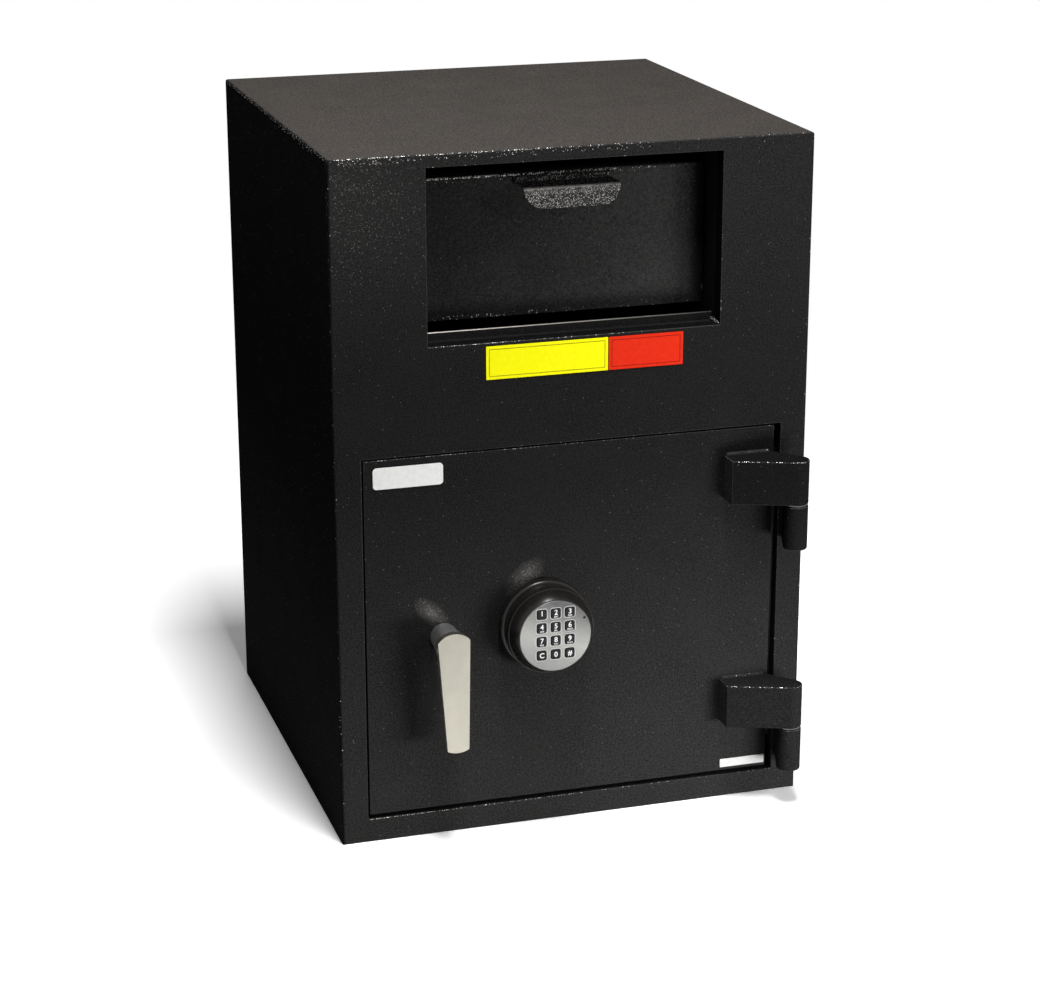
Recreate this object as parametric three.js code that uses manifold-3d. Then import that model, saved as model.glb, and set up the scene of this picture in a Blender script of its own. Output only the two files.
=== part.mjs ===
// Drop safe with a deposit drawer: a welded steel cabinet with a tilting deposit hopper above
// and a hinged door below, closed by three bolts, a lever handle and an electronic lock.
// Millimetres. +X is to the right and +Y to the rear as seen from in front, +Z is up.
// The origin is the centre of the cabinet's footprint on the floor.

import * as THREE from "three";
import { mergeVertices } from "three/addons/utils/BufferGeometryUtils.js";
import Module from "manifold-3d";

const wasm = await Module();
wasm.setup();

// Clearances
const touch = 0.3; // between faces that rest on each other
const running = 0.4; // between a moving piece and what guides it
const overrun = 1; // how far a cut runs past the face it opens

// Cabinet
const bodyWidth = 508;
const bodyDepth = 508;
const bodyHeight = 724;
const wrapWall = 3.4;
const wrapBend = 5;
const frontWall = 6.35;
const backWall = 3.4;
const floorWall = 6;
const anchorHoleRadius = 7;
const anchorInsetX = 64;
const anchorInsetY = 84;

// Doorway in the front plate, a band below the deposit opening, with a return that the bolts
// catch behind
const stileWidth = 28.15;
const sillHeight = 25.7;
const bandHeight = 111.2;
const jambWall = 6.35;
const jambDepth = 12;

// Door
const doorThickness = 12.7;
const latchGap = 1.8;
const hingeGap = 7.4;
const topGap = 1.8;
const bottomGap = 5.2;

// Door hinges: an offset strap on the door turns on a knuckle that stands off the cabinet
const hingeInset = 23.2;
const hingeReach = 36;
const barrelRadius = 12.7;
const strapHeight = 47.5;
const strapLength = 67.8;
const strapEndThickness = 23.4;
const strapHeel = 3;
const knuckleHeight = 47.5;
const knuckleFoot = 22;
const hingeWasherThickness = 1.5;
const hingeWasherRadius = 11.4;
const hingePinRadius = 6.2;
const hingePinCap = 6;
const upperStrapBelowDoorTop = 27.8;
const lowerStrapAboveDoorBottom = 60;

// Deposit opening and the recess behind it
const hopperOpeningWidth = 310.6;
const hopperOpeningHeight = 180.5;
const hopperTopBar = 13.5;
const recessWall = 3;
const recessDepth = 17;
const recessSillDepth = 28;
const recessLipHeight = 8.5;
const recessLipWall = 3;

// Deposit hopper, which tilts outward on a rod near its lower edge
const hopperRecess = 48;
const hopperFrontWall = 3;
const hopperSideGap = 2.8;
const hopperTopGap = 19;
const hopperBottomGap = 14;
const hopperTopFlange = 12;
const pivotBehindFace = 16;
const pivotAboveEdge = 12;
const pivotRodRadius = 6;
const pivotRodEnd = 1.6;
const bucketWall = 3;
const bucketInset = 1;
const trayBelowPivot = 9;
const traySlope = Math.PI / 6;
const cheekWall = 3.4;
const cheekStep = 1.7;
const cheekRear = 204;
const cheekDrop = 60;
const baffleWall = 3.4;
const baffleBehindBucket = 4;
const baffleLowerEdge = 19;
const baffleLip = 10;
const bumperThickness = 8;
const bumperLength = 20;
const bumperWidth = 8.7;
const bumperFromPivot = 105;

// Pull on the hopper's front
const pullWidth = 102;
const pullWall = 2.5;
const pullReach = 36;
const pullFlange = 7;
const pullLip = 21.5;
const pullCorner = 18;
const pullBend = 3;
const pullBelowEdge = 2.5;

// Lever handle and its spindle
const handleFromLatchEdge = 81.4;
const handleBelowMiddle = 2;
const handleReach = 43;
const hubRadius = 14.4;
const hubFlare = 2.6;
const hubStandoff = 0.6;
const headWidth = 34;
const headRise = 17.3;
const headArcRadius = 21.6;
const bladeLength = 114;
const bladeTipWidth = 23;
const bladeTipRadius = 24;
const bladeThickness = 8;
const bladeTipThickness = 5;
const bladeBlend = 34;
const bladeLean = (1.7 * Math.PI) / 180;
const spindleRadius = 6;
const spindleInHub = 30;

// Boltwork
const boltRadius = 12.7;
const boltTravel = 25.4;
const boltInset = 5;
const boltLength = 49;
const boltChamfer = 1.6;
const boltMargin = 59;
const boltBehindDoor = 0.6;
const barWall = 5;
const barWidth = 18;
const barMargin = 40;
const barArmHeight = 32;
const barArmAboveBottom = 32;
const barTabWall = 6;
const barTabDrop = 8;
const barTabDepth = 20;
const camThickness = 7;
const camHubRadius = 12;
const camPinRadius = 3;
const camPinClearance = 1;
const camPinEnd = 4;
const channelWall = 6;
const channelInset = 10;
const channelFoot = 14;
const channelFootWall = 3;
const studRadius = 4;
const studHeadRadius = 7;
const studHeadThickness = 3;
const studFromHandle = 32;
const deadBarWidth = 42;
const deadBarThickness = 9.5;
const deadBarReach = 12;
const deadBarMargin = 29;
const deadBarStandoff = 0.8;

// Electronic lock behind the door
const lockWidth = 83;
const lockHeight = 60;
const lockDepth = 32;
const lockFromHandle = 70;
const lockBoltSize = 12;
const lockBoltTravel = 10;
const lockBoltLength = 19;
const lockBoltRise = 1;
const lockBoltAtDoor = 8;

// Cover over the boltwork
const coverWall = 1.6;
const coverDepth = 45;
const coverMargin = 19;
const coverHingeMargin = 38;
const coverFlange = 12;
const screwRadius = 2.2;
const screwHeadRadius = 4.2;
const screwHeadThickness = 2.4;
const screwLength = 6;
const screwSpacing = 210;
const screwFromLatchEdge = 124;

// Keypad on the door
const keypadFromHandle = 108.2;
const keypadAboveHandle = 3;
const keypadBaseRadius = 49;
const keypadBaseThickness = 10;
const keypadEdge = 2.5;
const housingRadius = 46.5;
const housingWall = 4.5;
const housingFront = 41;
const housingShoulder = 12;
const housingBezel = 3;
const bezelRadius = 38.7;
const facePlateRadius = 38.4;
const facePlateThickness = 4;
const facePlateProud = 1;
const keymatThickness = 2;
const leadHoleRadius = 6;
const keySize = 9.6;
const keyCorner = 2;
const keyPitchX = 15.1;
const keyPitchZ = 14.95;
const keyRise = 1.4;
const keyTravel = 1;
const keySkirt = 1.2;
const keySkirtThickness = 1;
const keyEdge = 0.4;
const keysAboveCentre = 2.5;

// Stickers and plates, all bare
const stickerThickness = 0.6;
const yellowLabelWidth = 129;
const redLabelWidth = 80.2;
const labelHeight = 34.6;
const labelBelowOpening = 3.6;
const labelGap = 0.9;
const labelPairShift = 9.8;
const labelCorner = 0.8;
const namePlateWidth = 73.3;
const namePlateHeight = 22.8;
const namePlateCorner = 4;
const namePlateFromLatchEdge = 9.5;
const namePlateBelowTop = 7.6;
const serialLabelWidth = 51;
const serialLabelHeight = 9.6;
const serialLabelFromHingeEdge = 1.5;
const serialLabelAboveBottom = 3.4;

// Facets on round surfaces
const fineFacets = 40;
const roundFacets = 28;
const smallFacets = 16;
const keyArc = 1;
const bendArc = 3;
const barrelArc = 6;
const wideArc = 8;

// Places that follow from the sizes above
const frontFace = -bodyDepth / 2;
const frontInside = frontFace + frontWall;
const backFace = bodyDepth / 2;
const sideInside = bodyWidth / 2 - wrapWall;
const topInside = bodyHeight - wrapWall;

const openingHalf = hopperOpeningWidth / 2;
const openingTop = bodyHeight - hopperTopBar;
const openingBottom = openingTop - hopperOpeningHeight;
const doorwayHalf = bodyWidth / 2 - stileWidth;
const doorwayTop = openingBottom - bandHeight;
const doorLeft = -doorwayHalf + latchGap;
const doorRight = doorwayHalf - hingeGap;
const doorBottom = sillHeight + bottomGap;
const doorTop = doorwayTop - topGap;
const doorBack = frontFace + doorThickness;
const doorMiddle = (doorBottom + doorTop) / 2;

const hingeX = bodyWidth / 2 - hingeInset;
const hingeY = frontFace - hingeReach;

const cheekInside = openingHalf + cheekStep;
const recessBack = frontFace + recessDepth;

const hopperFace = frontFace + hopperRecess;
const hopperBack = hopperFace + hopperFrontWall;
const hopperHalf = openingHalf - hopperSideGap;
const hopperTop = openingTop - hopperTopGap;
const hopperBottom = openingBottom + hopperBottomGap;
const pivotY = hopperFace + pivotBehindFace;
const pivotZ = hopperBottom + pivotAboveEdge;
const bucketHalf = hopperHalf - bucketInset;
const bucketRadius = hopperTop - hopperFrontWall - touch - pivotZ;

const handleX = doorLeft + handleFromLatchEdge;
const handleZ = doorMiddle - handleBelowMiddle;
const keypadX = handleX + keypadFromHandle;
const keypadZ = handleZ + keypadAboveHandle;

const boltY = doorBack + boltBehindDoor + boltRadius;
const barFront = boltY + boltRadius + touch;
const barBack = barFront + barWall;
const boltTip = doorLeft + boltInset;
const boltEnd = boltTip + boltLength;
const channelLeft = doorLeft + channelInset;
const channelRight = channelLeft + channelWall;
const coverBack = doorBack + coverDepth;
const crank = boltTravel / Math.SQRT2;
const armBottom = handleZ - barArmAboveBottom;
const armTop = armBottom + barArmHeight;
const camBack = barFront - touch - boltRadius;

// Solids from three.js geometry
function solid(geometry) {
  const bare = geometry.index ? geometry.toNonIndexed() : geometry.clone();
  bare.deleteAttribute("normal");
  bare.deleteAttribute("uv");
  const merged = mergeVertices(bare, 1e-4);
  return new wasm.Manifold(
    new wasm.Mesh({
      numProp: 3,
      vertProperties: new Float32Array(merged.attributes.position.array),
      triVerts: new Uint32Array(merged.index.array),
    }),
  );
}

function geometryOf(manifold) {
  const mesh = manifold.getMesh();
  const geometry = new THREE.BufferGeometry();
  const position = new THREE.BufferAttribute(new Float32Array(mesh.vertProperties), 3);
  geometry.setAttribute("position", position);
  geometry.setIndex(new THREE.BufferAttribute(new Uint32Array(mesh.triVerts), 1));
  geometry.computeVertexNormals();
  return geometry;
}

const axisX = new THREE.Vector3(1, 0, 0);
const axisY = new THREE.Vector3(0, 1, 0);
const axisZ = new THREE.Vector3(0, 0, 1);

// A box given by its lowest and highest places on each axis
function box(x0, x1, y0, y1, z0, z1) {
  const geometry = new THREE.BoxGeometry(x1 - x0, y1 - y0, z1 - z0);
  geometry.translate((x0 + x1) / 2, (y0 + y1) / 2, (z0 + z1) / 2);
  return solid(geometry);
}

function extrusion(shape, depth, curveSegments) {
  return new THREE.ExtrudeGeometry(shape, { depth, bevelEnabled: false, curveSegments });
}

// A prism along X whose outline is drawn in Y and Z
function prismX(shape, x0, x1, arc = bendArc) {
  const geometry = extrusion(shape, x1 - x0, arc);
  geometry.applyMatrix4(new THREE.Matrix4().makeBasis(axisY, axisZ, axisX));
  geometry.translate(x0, 0, 0);
  return solid(geometry);
}

// A prism along Y whose outline is drawn in X and Z
function prismY(shape, y0, y1, arc = bendArc) {
  const geometry = extrusion(shape, y1 - y0, arc);
  geometry.applyMatrix4(new THREE.Matrix4().makeBasis(axisX, axisZ, axisY.clone().negate()));
  geometry.translate(0, y1, 0);
  return solid(geometry);
}

// A prism along Z whose outline is drawn in X and Y
function prismZ(shape, z0, z1, arc = barrelArc) {
  const geometry = extrusion(shape, z1 - z0, arc);
  geometry.translate(0, 0, z0);
  return solid(geometry);
}

function cylinder(axis, radius, a, b, from, to, facets = roundFacets) {
  const geometry = new THREE.CylinderGeometry(radius, radius, to - from, facets);
  if (axis === "x") {
    geometry.rotateZ(-Math.PI / 2);
    geometry.translate((from + to) / 2, a, b);
  } else if (axis === "y") {
    geometry.translate(a, (from + to) / 2, b);
  } else {
    geometry.rotateX(Math.PI / 2);
    geometry.translate(a, b, (from + to) / 2);
  }
  return solid(geometry);
}

// A turned piece on an axis along Y: the profile is [radius, distance in front of y]
function turnedY(profile, x, y, z, facets = fineFacets) {
  const points = profile.map(([radius, ahead]) => new THREE.Vector2(radius, ahead));
  const geometry = new THREE.LatheGeometry(points, facets);
  geometry.rotateX(Math.PI);
  geometry.translate(x, y, z);
  return solid(geometry);
}

function polygon(points) {
  return new THREE.Shape(points.map(([a, b]) => new THREE.Vector2(a, b)));
}

// A rectangle with round corners, centred on (a, b)
function roundedRectangle(a, b, width, height, corner) {
  const shape = new THREE.Shape();
  const w = width / 2;
  const h = height / 2;
  const quarter = Math.PI / 2;
  shape.absarc(a + w - corner, b + h - corner, corner, 0, quarter, false);
  shape.absarc(a - w + corner, b + h - corner, corner, quarter, 2 * quarter, false);
  shape.absarc(a - w + corner, b - h + corner, corner, 2 * quarter, 3 * quarter, false);
  shape.absarc(a + w - corner, b - h + corner, corner, 3 * quarter, 4 * quarter, false);
  return shape;
}

// The two directions in which a line from a point touches a circle, as angles on the circle
function tangentAngles(px, py, cx, cy, radius) {
  const towards = Math.atan2(py - cy, px - cx);
  const half = Math.acos(radius / Math.hypot(px - cx, py - cy));
  return [towards - half, towards + half];
}

const paint = { color: 0x1c1b1b, roughness: 0.45, metalness: 0 };
const brightSteel = { color: 0xb9bcc0, roughness: 0.25, metalness: 1 };
const plainSteel = { color: 0x8c8f92, roughness: 0.45, metalness: 0.9 };
const nickel = { color: 0xcfcabc, roughness: 0.35, metalness: 0.8 };
const darkNickel = { color: 0x5b5d60, roughness: 0.3, metalness: 0.9 };
const blackPlastic = { color: 0x17181a, roughness: 0.35, metalness: 0 };
const silverPlastic = { color: 0xb4b5b6, roughness: 0.4, metalness: 0.3 };
const keyPlastic = { color: 0x2b2c2f, roughness: 0.5, metalness: 0 };
const rubber = { color: 0x111111, roughness: 0.9, metalness: 0 };
const zincPlate = { color: 0xa7a9a4, roughness: 0.5, metalness: 0.7 };
const yellowFilm = { color: 0xf4ea0c, roughness: 0.4, metalness: 0 };
const redFilm = { color: 0xe3301b, roughness: 0.4, metalness: 0 };
const whiteFilm = { color: 0xe8e8e6, roughness: 0.4, metalness: 0 };

const safe = new THREE.Group();
safe.name = "drop_safe";

function add(group, name, manifold, material) {
  const mesh = new THREE.Mesh(geometryOf(manifold), new THREE.MeshStandardMaterial(material));
  mesh.name = name;
  group.add(mesh);
  return mesh;
}

function addGroup(name) {
  const group = new THREE.Group();
  group.name = name;
  safe.add(group);
  return group;
}

// Cabinet: a sheet bent over the top and both sides
function bodyWrap() {
  const half = bodyWidth / 2;
  const quarter = Math.PI / 2;
  const inner = wrapBend - wrapWall;
  const shape = new THREE.Shape();
  shape.moveTo(half, 0);
  shape.absarc(half - wrapBend, bodyHeight - wrapBend, wrapBend, 0, quarter, false);
  shape.absarc(-half + wrapBend, bodyHeight - wrapBend, wrapBend, quarter, 2 * quarter, false);
  shape.lineTo(-half, 0);
  shape.lineTo(-sideInside, 0);
  shape.absarc(-sideInside + inner, topInside - inner, inner, 2 * quarter, quarter, true);
  shape.absarc(sideInside - inner, topInside - inner, inner, quarter, 0, true);
  shape.lineTo(sideInside, 0);
  return prismY(shape, frontFace, backFace);
}

// A plate that fills the wrap from side to side and up into its bends
function fittedPlate(y0, y1) {
  const half = sideInside - touch;
  const top = topInside - touch;
  const corner = wrapBend - wrapWall - touch;
  const quarter = Math.PI / 2;
  const shape = new THREE.Shape();
  shape.moveTo(-half, 0);
  shape.lineTo(half, 0);
  shape.absarc(half - corner, top - corner, corner, 0, quarter, false);
  shape.absarc(-half + corner, top - corner, corner, quarter, 2 * quarter, false);
  return prismY(shape, y0, y1);
}

function floorPlate() {
  const half = sideInside - touch;
  let plate = box(-half, half, frontInside + touch, backFace - backWall - touch, 0, floorWall);
  for (const sideX of [-1, 1]) {
    for (const sideY of [-1, 1]) {
      const x = sideX * (bodyWidth / 2 - anchorInsetX);
      const y = sideY * (bodyDepth / 2 - anchorInsetY);
      const hole = cylinder("z", anchorHoleRadius, x, y, -overrun, floorWall + overrun, smallFacets);
      plate = plate.subtract(hole);
    }
  }
  return plate;
}

function backPanel() {
  return fittedPlate(backFace - backWall, backFace);
}

function frontFrame() {
  const back = frontInside + overrun;
  let frame = fittedPlate(frontFace, frontInside);
  const jambTop = doorwayTop + jambWall;
  const jambBottom = sillHeight - jambWall;
  const jambHalf = doorwayHalf + jambWall;
  const jambFront = frontInside - overrun;
  frame = frame.add(
    box(-jambHalf, jambHalf, jambFront, frontFace + jambDepth, jambBottom, jambTop),
  );
  frame = frame.subtract(
    box(
      -doorwayHalf,
      doorwayHalf,
      frontFace - overrun,
      frontFace + jambDepth + overrun,
      sillHeight,
      doorwayTop,
    ),
  );
  return frame.subtract(
    box(-openingHalf, openingHalf, frontFace - overrun, back, openingBottom, openingTop),
  );
}

// The liner behind the deposit opening: two jambs, a head, and a deeper sill with a lip
function recessFrame() {
  const front = frontInside + touch;
  const outer = openingHalf + recessWall;
  const top = Math.min(openingTop + recessWall, topInside - touch);
  const low = openingBottom - recessWall;
  const sillBack = frontFace + recessSillDepth;
  const liner = box(-outer, outer, front, recessBack, low, top).subtract(
    box(
      -openingHalf,
      openingHalf,
      front - overrun,
      recessBack + overrun,
      openingBottom,
      openingTop,
    ),
  );
  const round = recessLipWall / 2;
  const profile = new THREE.Shape();
  profile.moveTo(front, low);
  profile.lineTo(sillBack, low);
  profile.absarc(sillBack - round, openingBottom + recessLipHeight - round, round, 0, Math.PI, false);
  profile.lineTo(sillBack - recessLipWall, openingBottom);
  profile.lineTo(front, openingBottom);
  return liner.add(prismX(profile, -openingHalf, openingHalf));
}

// The side plates of the hopper's housing, which carry its rod
function hopperCheek(side) {
  const inside = side * cheekInside;
  const outside = side * (cheekInside + cheekWall);
  const left = Math.min(inside, outside);
  const right = Math.max(inside, outside);
  const bottom = pivotZ - cheekDrop;
  const plate = box(left, right, recessBack + touch, frontFace + cheekRear, bottom, topInside - touch);
  const hole = cylinder(
    "x",
    pivotRodRadius + touch,
    pivotY,
    pivotZ,
    left - overrun,
    right + overrun,
    smallFacets,
  );
  return plate.subtract(hole);
}

// The fixed baffle that hangs behind the hopper and keeps hands out when it is open
function hopperBaffle() {
  const half = cheekInside - touch;
  const front = pivotY + bucketRadius + baffleBehindBucket;
  const back = front + baffleWall;
  const low = pivotZ + baffleLowerEdge;
  const sheet = box(-half, half, front, back, low, topInside - touch);
  return sheet.add(box(-half, half, front, back + baffleLip, low, low + baffleWall));
}

function pivotRod() {
  const half = cheekInside + cheekWall + pivotRodEnd;
  return cylinder("x", pivotRodRadius, pivotY, pivotZ, -half, half, smallFacets);
}

// Unit vectors along the tray, rearward and down, and square to it
const alongTray = [Math.cos(traySlope), -Math.sin(traySlope)];
const offTray = [Math.sin(traySlope), Math.cos(traySlope)];

function fromPivot(along, off) {
  return [
    pivotY + along * alongTray[0] + off * offTray[0],
    pivotZ + along * alongTray[1] + off * offTray[1],
  ];
}

// A rubber stop under the bucket's edge, on the inner face of one side plate
function stopBumper(side) {
  const top = -trayBelowPivot - bucketWall - touch;
  const low = top - bumperThickness;
  const start = bumperFromPivot - bumperLength / 2;
  const end = bumperFromPivot + bumperLength / 2;
  const corners = [
    fromPivot(start, low),
    fromPivot(end, low),
    fromPivot(end, top),
    fromPivot(start, top),
  ];
  const near = side * (cheekInside - touch);
  const far = side * (cheekInside - touch - bumperWidth);
  return prismX(polygon(corners), Math.min(near, far), Math.max(near, far));
}

// Hinges
const upperStrapTop = doorTop - upperStrapBelowDoorTop;
const upperStrapBottom = upperStrapTop - strapHeight;
const lowerStrapBottom = doorBottom + lowerStrapAboveDoorBottom;

// The strap: a wedge on the door that leads out to the barrel, with a blind bore from below
function hingeStrap(bottom) {
  const free = hingeX - strapLength;
  const near = frontFace - touch;
  const end = near - strapEndThickness;
  const heel = doorRight - strapHeel;
  const first = tangentAngles(free, end, hingeX, hingeY, barrelRadius)[1];
  const last = tangentAngles(heel, near, hingeX, hingeY, barrelRadius)[0];
  const shape = new THREE.Shape();
  shape.moveTo(heel, near);
  shape.lineTo(free, near);
  shape.lineTo(free, end);
  shape.absarc(hingeX, hingeY, barrelRadius, first, last, false);
  const top = bottom + strapHeight;
  const bore = cylinder(
    "z",
    hingePinRadius + running,
    hingeX,
    hingeY,
    bottom - overrun,
    top - hingePinCap + running,
  );
  return prismZ(shape, bottom, top).subtract(bore);
}

// The knuckle: a barrel on a foot that stands off the cabinet's front plate
function hingeKnuckle(strapBottom) {
  const top = strapBottom - 2 * touch - hingeWasherThickness;
  const near = frontFace - touch;
  const left = hingeX - knuckleFoot / 2 + (bodyWidth / 2 - hingeX - knuckleFoot / 2) / 2;
  const right = left + knuckleFoot;
  const first = tangentAngles(left, near, hingeX, hingeY, barrelRadius)[1];
  const last = tangentAngles(right, near, hingeX, hingeY, barrelRadius)[0];
  const shape = new THREE.Shape();
  shape.moveTo(right, near);
  shape.lineTo(left, near);
  shape.absarc(hingeX, hingeY, barrelRadius, first, last, false);
  const bottom = top - knuckleHeight;
  const bore = cylinder(
    "z",
    hingePinRadius + touch,
    hingeX,
    hingeY,
    bottom - overrun,
    top + overrun,
  );
  return prismZ(shape, bottom, top).subtract(bore);
}

function hingeWasher(strapBottom) {
  const top = strapBottom - touch;
  const bottom = top - hingeWasherThickness;
  const disc = cylinder("z", hingeWasherRadius, hingeX, hingeY, bottom, top);
  const bore = cylinder("z", hingePinRadius + touch, hingeX, hingeY, bottom - overrun, top + overrun);
  return disc.subtract(bore);
}

function hingePin(strapBottom) {
  const bottom = strapBottom - 2 * touch - hingeWasherThickness - knuckleHeight;
  const top = strapBottom + strapHeight - hingePinCap;
  return cylinder("z", hingePinRadius, hingeX, hingeY, bottom, top);
}

// Door
function doorPlate() {
  const plate = box(doorLeft, doorRight, frontFace, doorBack, doorBottom, doorTop);
  const from = frontFace - overrun;
  const to = doorBack + overrun;
  const spindleHole = cylinder("y", spindleRadius + running, handleX, handleZ, from, to);
  const leadHole = cylinder("y", leadHoleRadius, keypadX, keypadZ, from, to, smallFacets);
  return plate.subtract(spindleHole).subtract(leadHole);
}

// The fixed bar that hooks behind the hinge-side jamb
function deadBar() {
  const right = doorRight + hingeGap + deadBarReach;
  const front = doorBack + deadBarStandoff;
  return box(
    right - deadBarWidth,
    right,
    front,
    front + deadBarThickness,
    doorBottom + deadBarMargin,
    doorTop - deadBarMargin,
  );
}

const boltHeights = [doorBottom + boltMargin, doorMiddle, doorTop - boltMargin];

// The upright channel that guides the three bolts, with a foot on the door
function boltChannel() {
  const front = doorBack + touch;
  const low = doorBottom + coverMargin;
  const high = doorTop - coverMargin;
  let web = box(channelLeft, channelRight, front, coverBack, low, high);
  web = web.add(
    box(channelLeft, channelRight + channelFoot, front, front + channelFootWall, low, high),
  );
  for (const z of boltHeights) {
    const hole = cylinder(
      "x",
      boltRadius + running,
      boltY,
      z,
      channelLeft - overrun,
      channelRight + overrun,
      fineFacets,
    );
    const relief = box(
      channelRight - touch,
      channelRight + channelFoot + overrun,
      front - overrun,
      front + channelFootWall + overrun,
      z - boltRadius - running,
      z + boltRadius + running,
    );
    web = web.subtract(hole).subtract(relief);
  }
  return web;
}

function lockingBolt(z) {
  const profile = [
    [0, 0],
    [boltRadius, 0],
    [boltRadius, boltLength - boltChamfer],
    [boltRadius - boltChamfer, boltLength],
    [0, boltLength],
  ];
  const points = profile.map(([radius, along]) => new THREE.Vector2(radius, along));
  const geometry = new THREE.LatheGeometry(points, fineFacets);
  geometry.rotateZ(Math.PI / 2);
  geometry.translate(boltEnd, boltY, z);
  return solid(geometry);
}

const camPinX = handleX + crank * Math.SQRT1_2;
const camPinZ = handleZ - crank * Math.SQRT1_2;
const studX = handleX + studFromHandle;
const studZ = (armBottom + armTop) / 2;
const lockX = handleX + lockFromHandle;
const lockTop = armBottom - barTabDrop - lockBoltRise - running - touch;
const tabLeft = lockX + lockBoltSize / 2 + (boltTravel - lockBoltSize - barTabWall) / 2;

// The bar behind the bolts, with an arm that the crank pin drives and a tab for the lock
function boltBar() {
  const left = boltEnd - barWidth / 2;
  const right = left + barWidth;
  const tabRight = tabLeft + barTabWall;
  let bar = box(left, right, barFront, barBack, doorBottom + barMargin, doorTop - barMargin);
  bar = bar.add(box(left, tabRight, barFront, barBack, armBottom, armTop));
  bar = bar.add(
    box(tabLeft, tabRight, barFront - barTabDepth, barBack, armBottom - barTabDrop, armTop),
  );
  const pinRoom = camPinRadius + camPinClearance;
  const crankSlot = box(
    camPinX - pinRoom,
    camPinX + pinRoom,
    barFront - overrun,
    barBack + overrun,
    handleZ - crank - pinRoom,
    camPinZ + pinRoom,
  );
  const studRoom = studRadius + running;
  const guideSlot = box(
    studX - studRoom,
    studX + boltTravel + studRoom,
    barFront - overrun,
    barBack + overrun,
    studZ - studRoom,
    studZ + studRoom,
  );
  return bar.subtract(crankSlot).subtract(guideSlot);
}

function guideStud() {
  const front = doorBack + touch;
  const headFront = barBack + running;
  const shank = cylinder("y", studRadius, studX, studZ, front, headFront + touch, smallFacets);
  const head = cylinder(
    "y",
    studHeadRadius,
    studX,
    studZ,
    headFront,
    headFront + studHeadThickness,
    smallFacets,
  );
  return shank.add(head);
}

// The crank on the spindle's inner end, with the pin that drives the bolt bar
function boltCam() {
  const front = camBack - camThickness;
  const arm = new THREE.Shape();
  const turn = -Math.PI / 4;
  const lean = Math.acos((camHubRadius - 2 * camPinRadius) / crank);
  arm.absarc(handleX, handleZ, camHubRadius, turn + lean, turn - lean + 2 * Math.PI, false);
  arm.absarc(camPinX, camPinZ, 2 * camPinRadius, turn - lean, turn + lean, false);
  const pin = cylinder(
    "y",
    camPinRadius,
    camPinX,
    camPinZ,
    camBack - overrun,
    barBack + camPinEnd,
    smallFacets,
  );
  const bore = cylinder(
    "y",
    spindleRadius + touch,
    handleX,
    handleZ,
    front - overrun,
    camBack + overrun,
    smallFacets,
  );
  return prismY(arm, front, camBack).add(pin).subtract(bore);
}

function spindle() {
  const from = frontFace - spindleInHub;
  return cylinder("y", spindleRadius, handleX, handleZ, from, camBack, smallFacets);
}

// The handle, on its own axis: a flared hub whose front runs down into a tapered blade
function leverHandle() {
  const face = frontFace - handleReach;
  const back = frontFace - hubStandoff;
  const headHalf = headWidth / 2;
  const headAngle = Math.acos(headHalf / headArcRadius);
  const tipHalf = bladeTipWidth / 2;
  const tipAngle = Math.asin(tipHalf / bladeTipRadius);
  const outline = new THREE.Shape();
  outline.absarc(0, headRise - headArcRadius, headArcRadius, headAngle, Math.PI - headAngle, false);
  outline.absarc(
    0,
    bladeTipRadius - bladeLength,
    bladeTipRadius,
    -Math.PI / 2 - tipAngle,
    -Math.PI / 2 + tipAngle,
    false,
  );
  const gusset = (face + back) / 2;
  const above = headRise + overrun;
  const side = new THREE.Shape();
  side.moveTo(face, above);
  side.lineTo(face, -bladeLength - overrun);
  side.lineTo(face + bladeTipThickness, -bladeLength - overrun);
  side.lineTo(face + bladeThickness, -bladeBlend);
  side.quadraticCurveTo(face + bladeThickness, -hubRadius, gusset, -hubRadius);
  side.lineTo(gusset, 0);
  side.lineTo(face + bladeThickness, 0);
  side.lineTo(face + bladeThickness, above);
  const blade = prismY(outline, face, back, barrelArc).intersect(prismX(side, -headWidth, headWidth));
  const hub = new THREE.CylinderGeometry(
    hubRadius,
    hubRadius + hubFlare,
    back - face - bladeTipThickness,
    fineFacets,
  );
  hub.translate(0, (back + face + bladeTipThickness) / 2, 0);
  const bore = cylinder(
    "y",
    spindleRadius + touch,
    0,
    0,
    frontFace - spindleInHub - touch,
    back + overrun,
    smallFacets,
  );
  return blade.add(solid(hub)).subtract(bore);
}

// Electronic lock: a body with a bolt that rises behind the tab of the bolt bar
function lockBody() {
  const front = doorBack + touch;
  const body = box(
    lockX - lockWidth / 2,
    lockX + lockWidth / 2,
    front,
    front + lockDepth,
    lockTop - lockHeight,
    lockTop,
  );
  const room = lockBoltSize / 2 + running;
  const middle = front + lockBoltAtDoor + lockBoltSize / 2;
  const slot = box(
    lockX - room,
    lockX + room,
    middle - room,
    middle + room,
    lockTop + lockBoltRise - lockBoltLength - running,
    lockTop + overrun,
  );
  return body.subtract(slot);
}

function lockBolt() {
  const front = doorBack + touch + lockBoltAtDoor;
  const top = lockTop + lockBoltRise;
  const half = lockBoltSize / 2;
  return box(lockX - half, lockX + half, front, front + lockBoltSize, top - lockBoltLength, top);
}

// Sheet cover over the boltwork, open towards the bolt channel
const coverLeft = channelRight + touch;
const coverRight = doorRight - coverHingeMargin;
const coverTop = doorTop - coverMargin;
const coverBottom = doorBottom + coverMargin;
const coverMiddle = doorMiddle;
const screwX = doorLeft + screwFromLatchEdge;
const screwPlaces = [
  [coverRight + coverFlange / 2, coverMiddle - screwSpacing / 2],
  [coverRight + coverFlange / 2, coverMiddle + screwSpacing / 2],
  [screwX, coverBottom - coverFlange / 2],
  [screwX, coverTop + coverFlange / 2],
];

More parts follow.
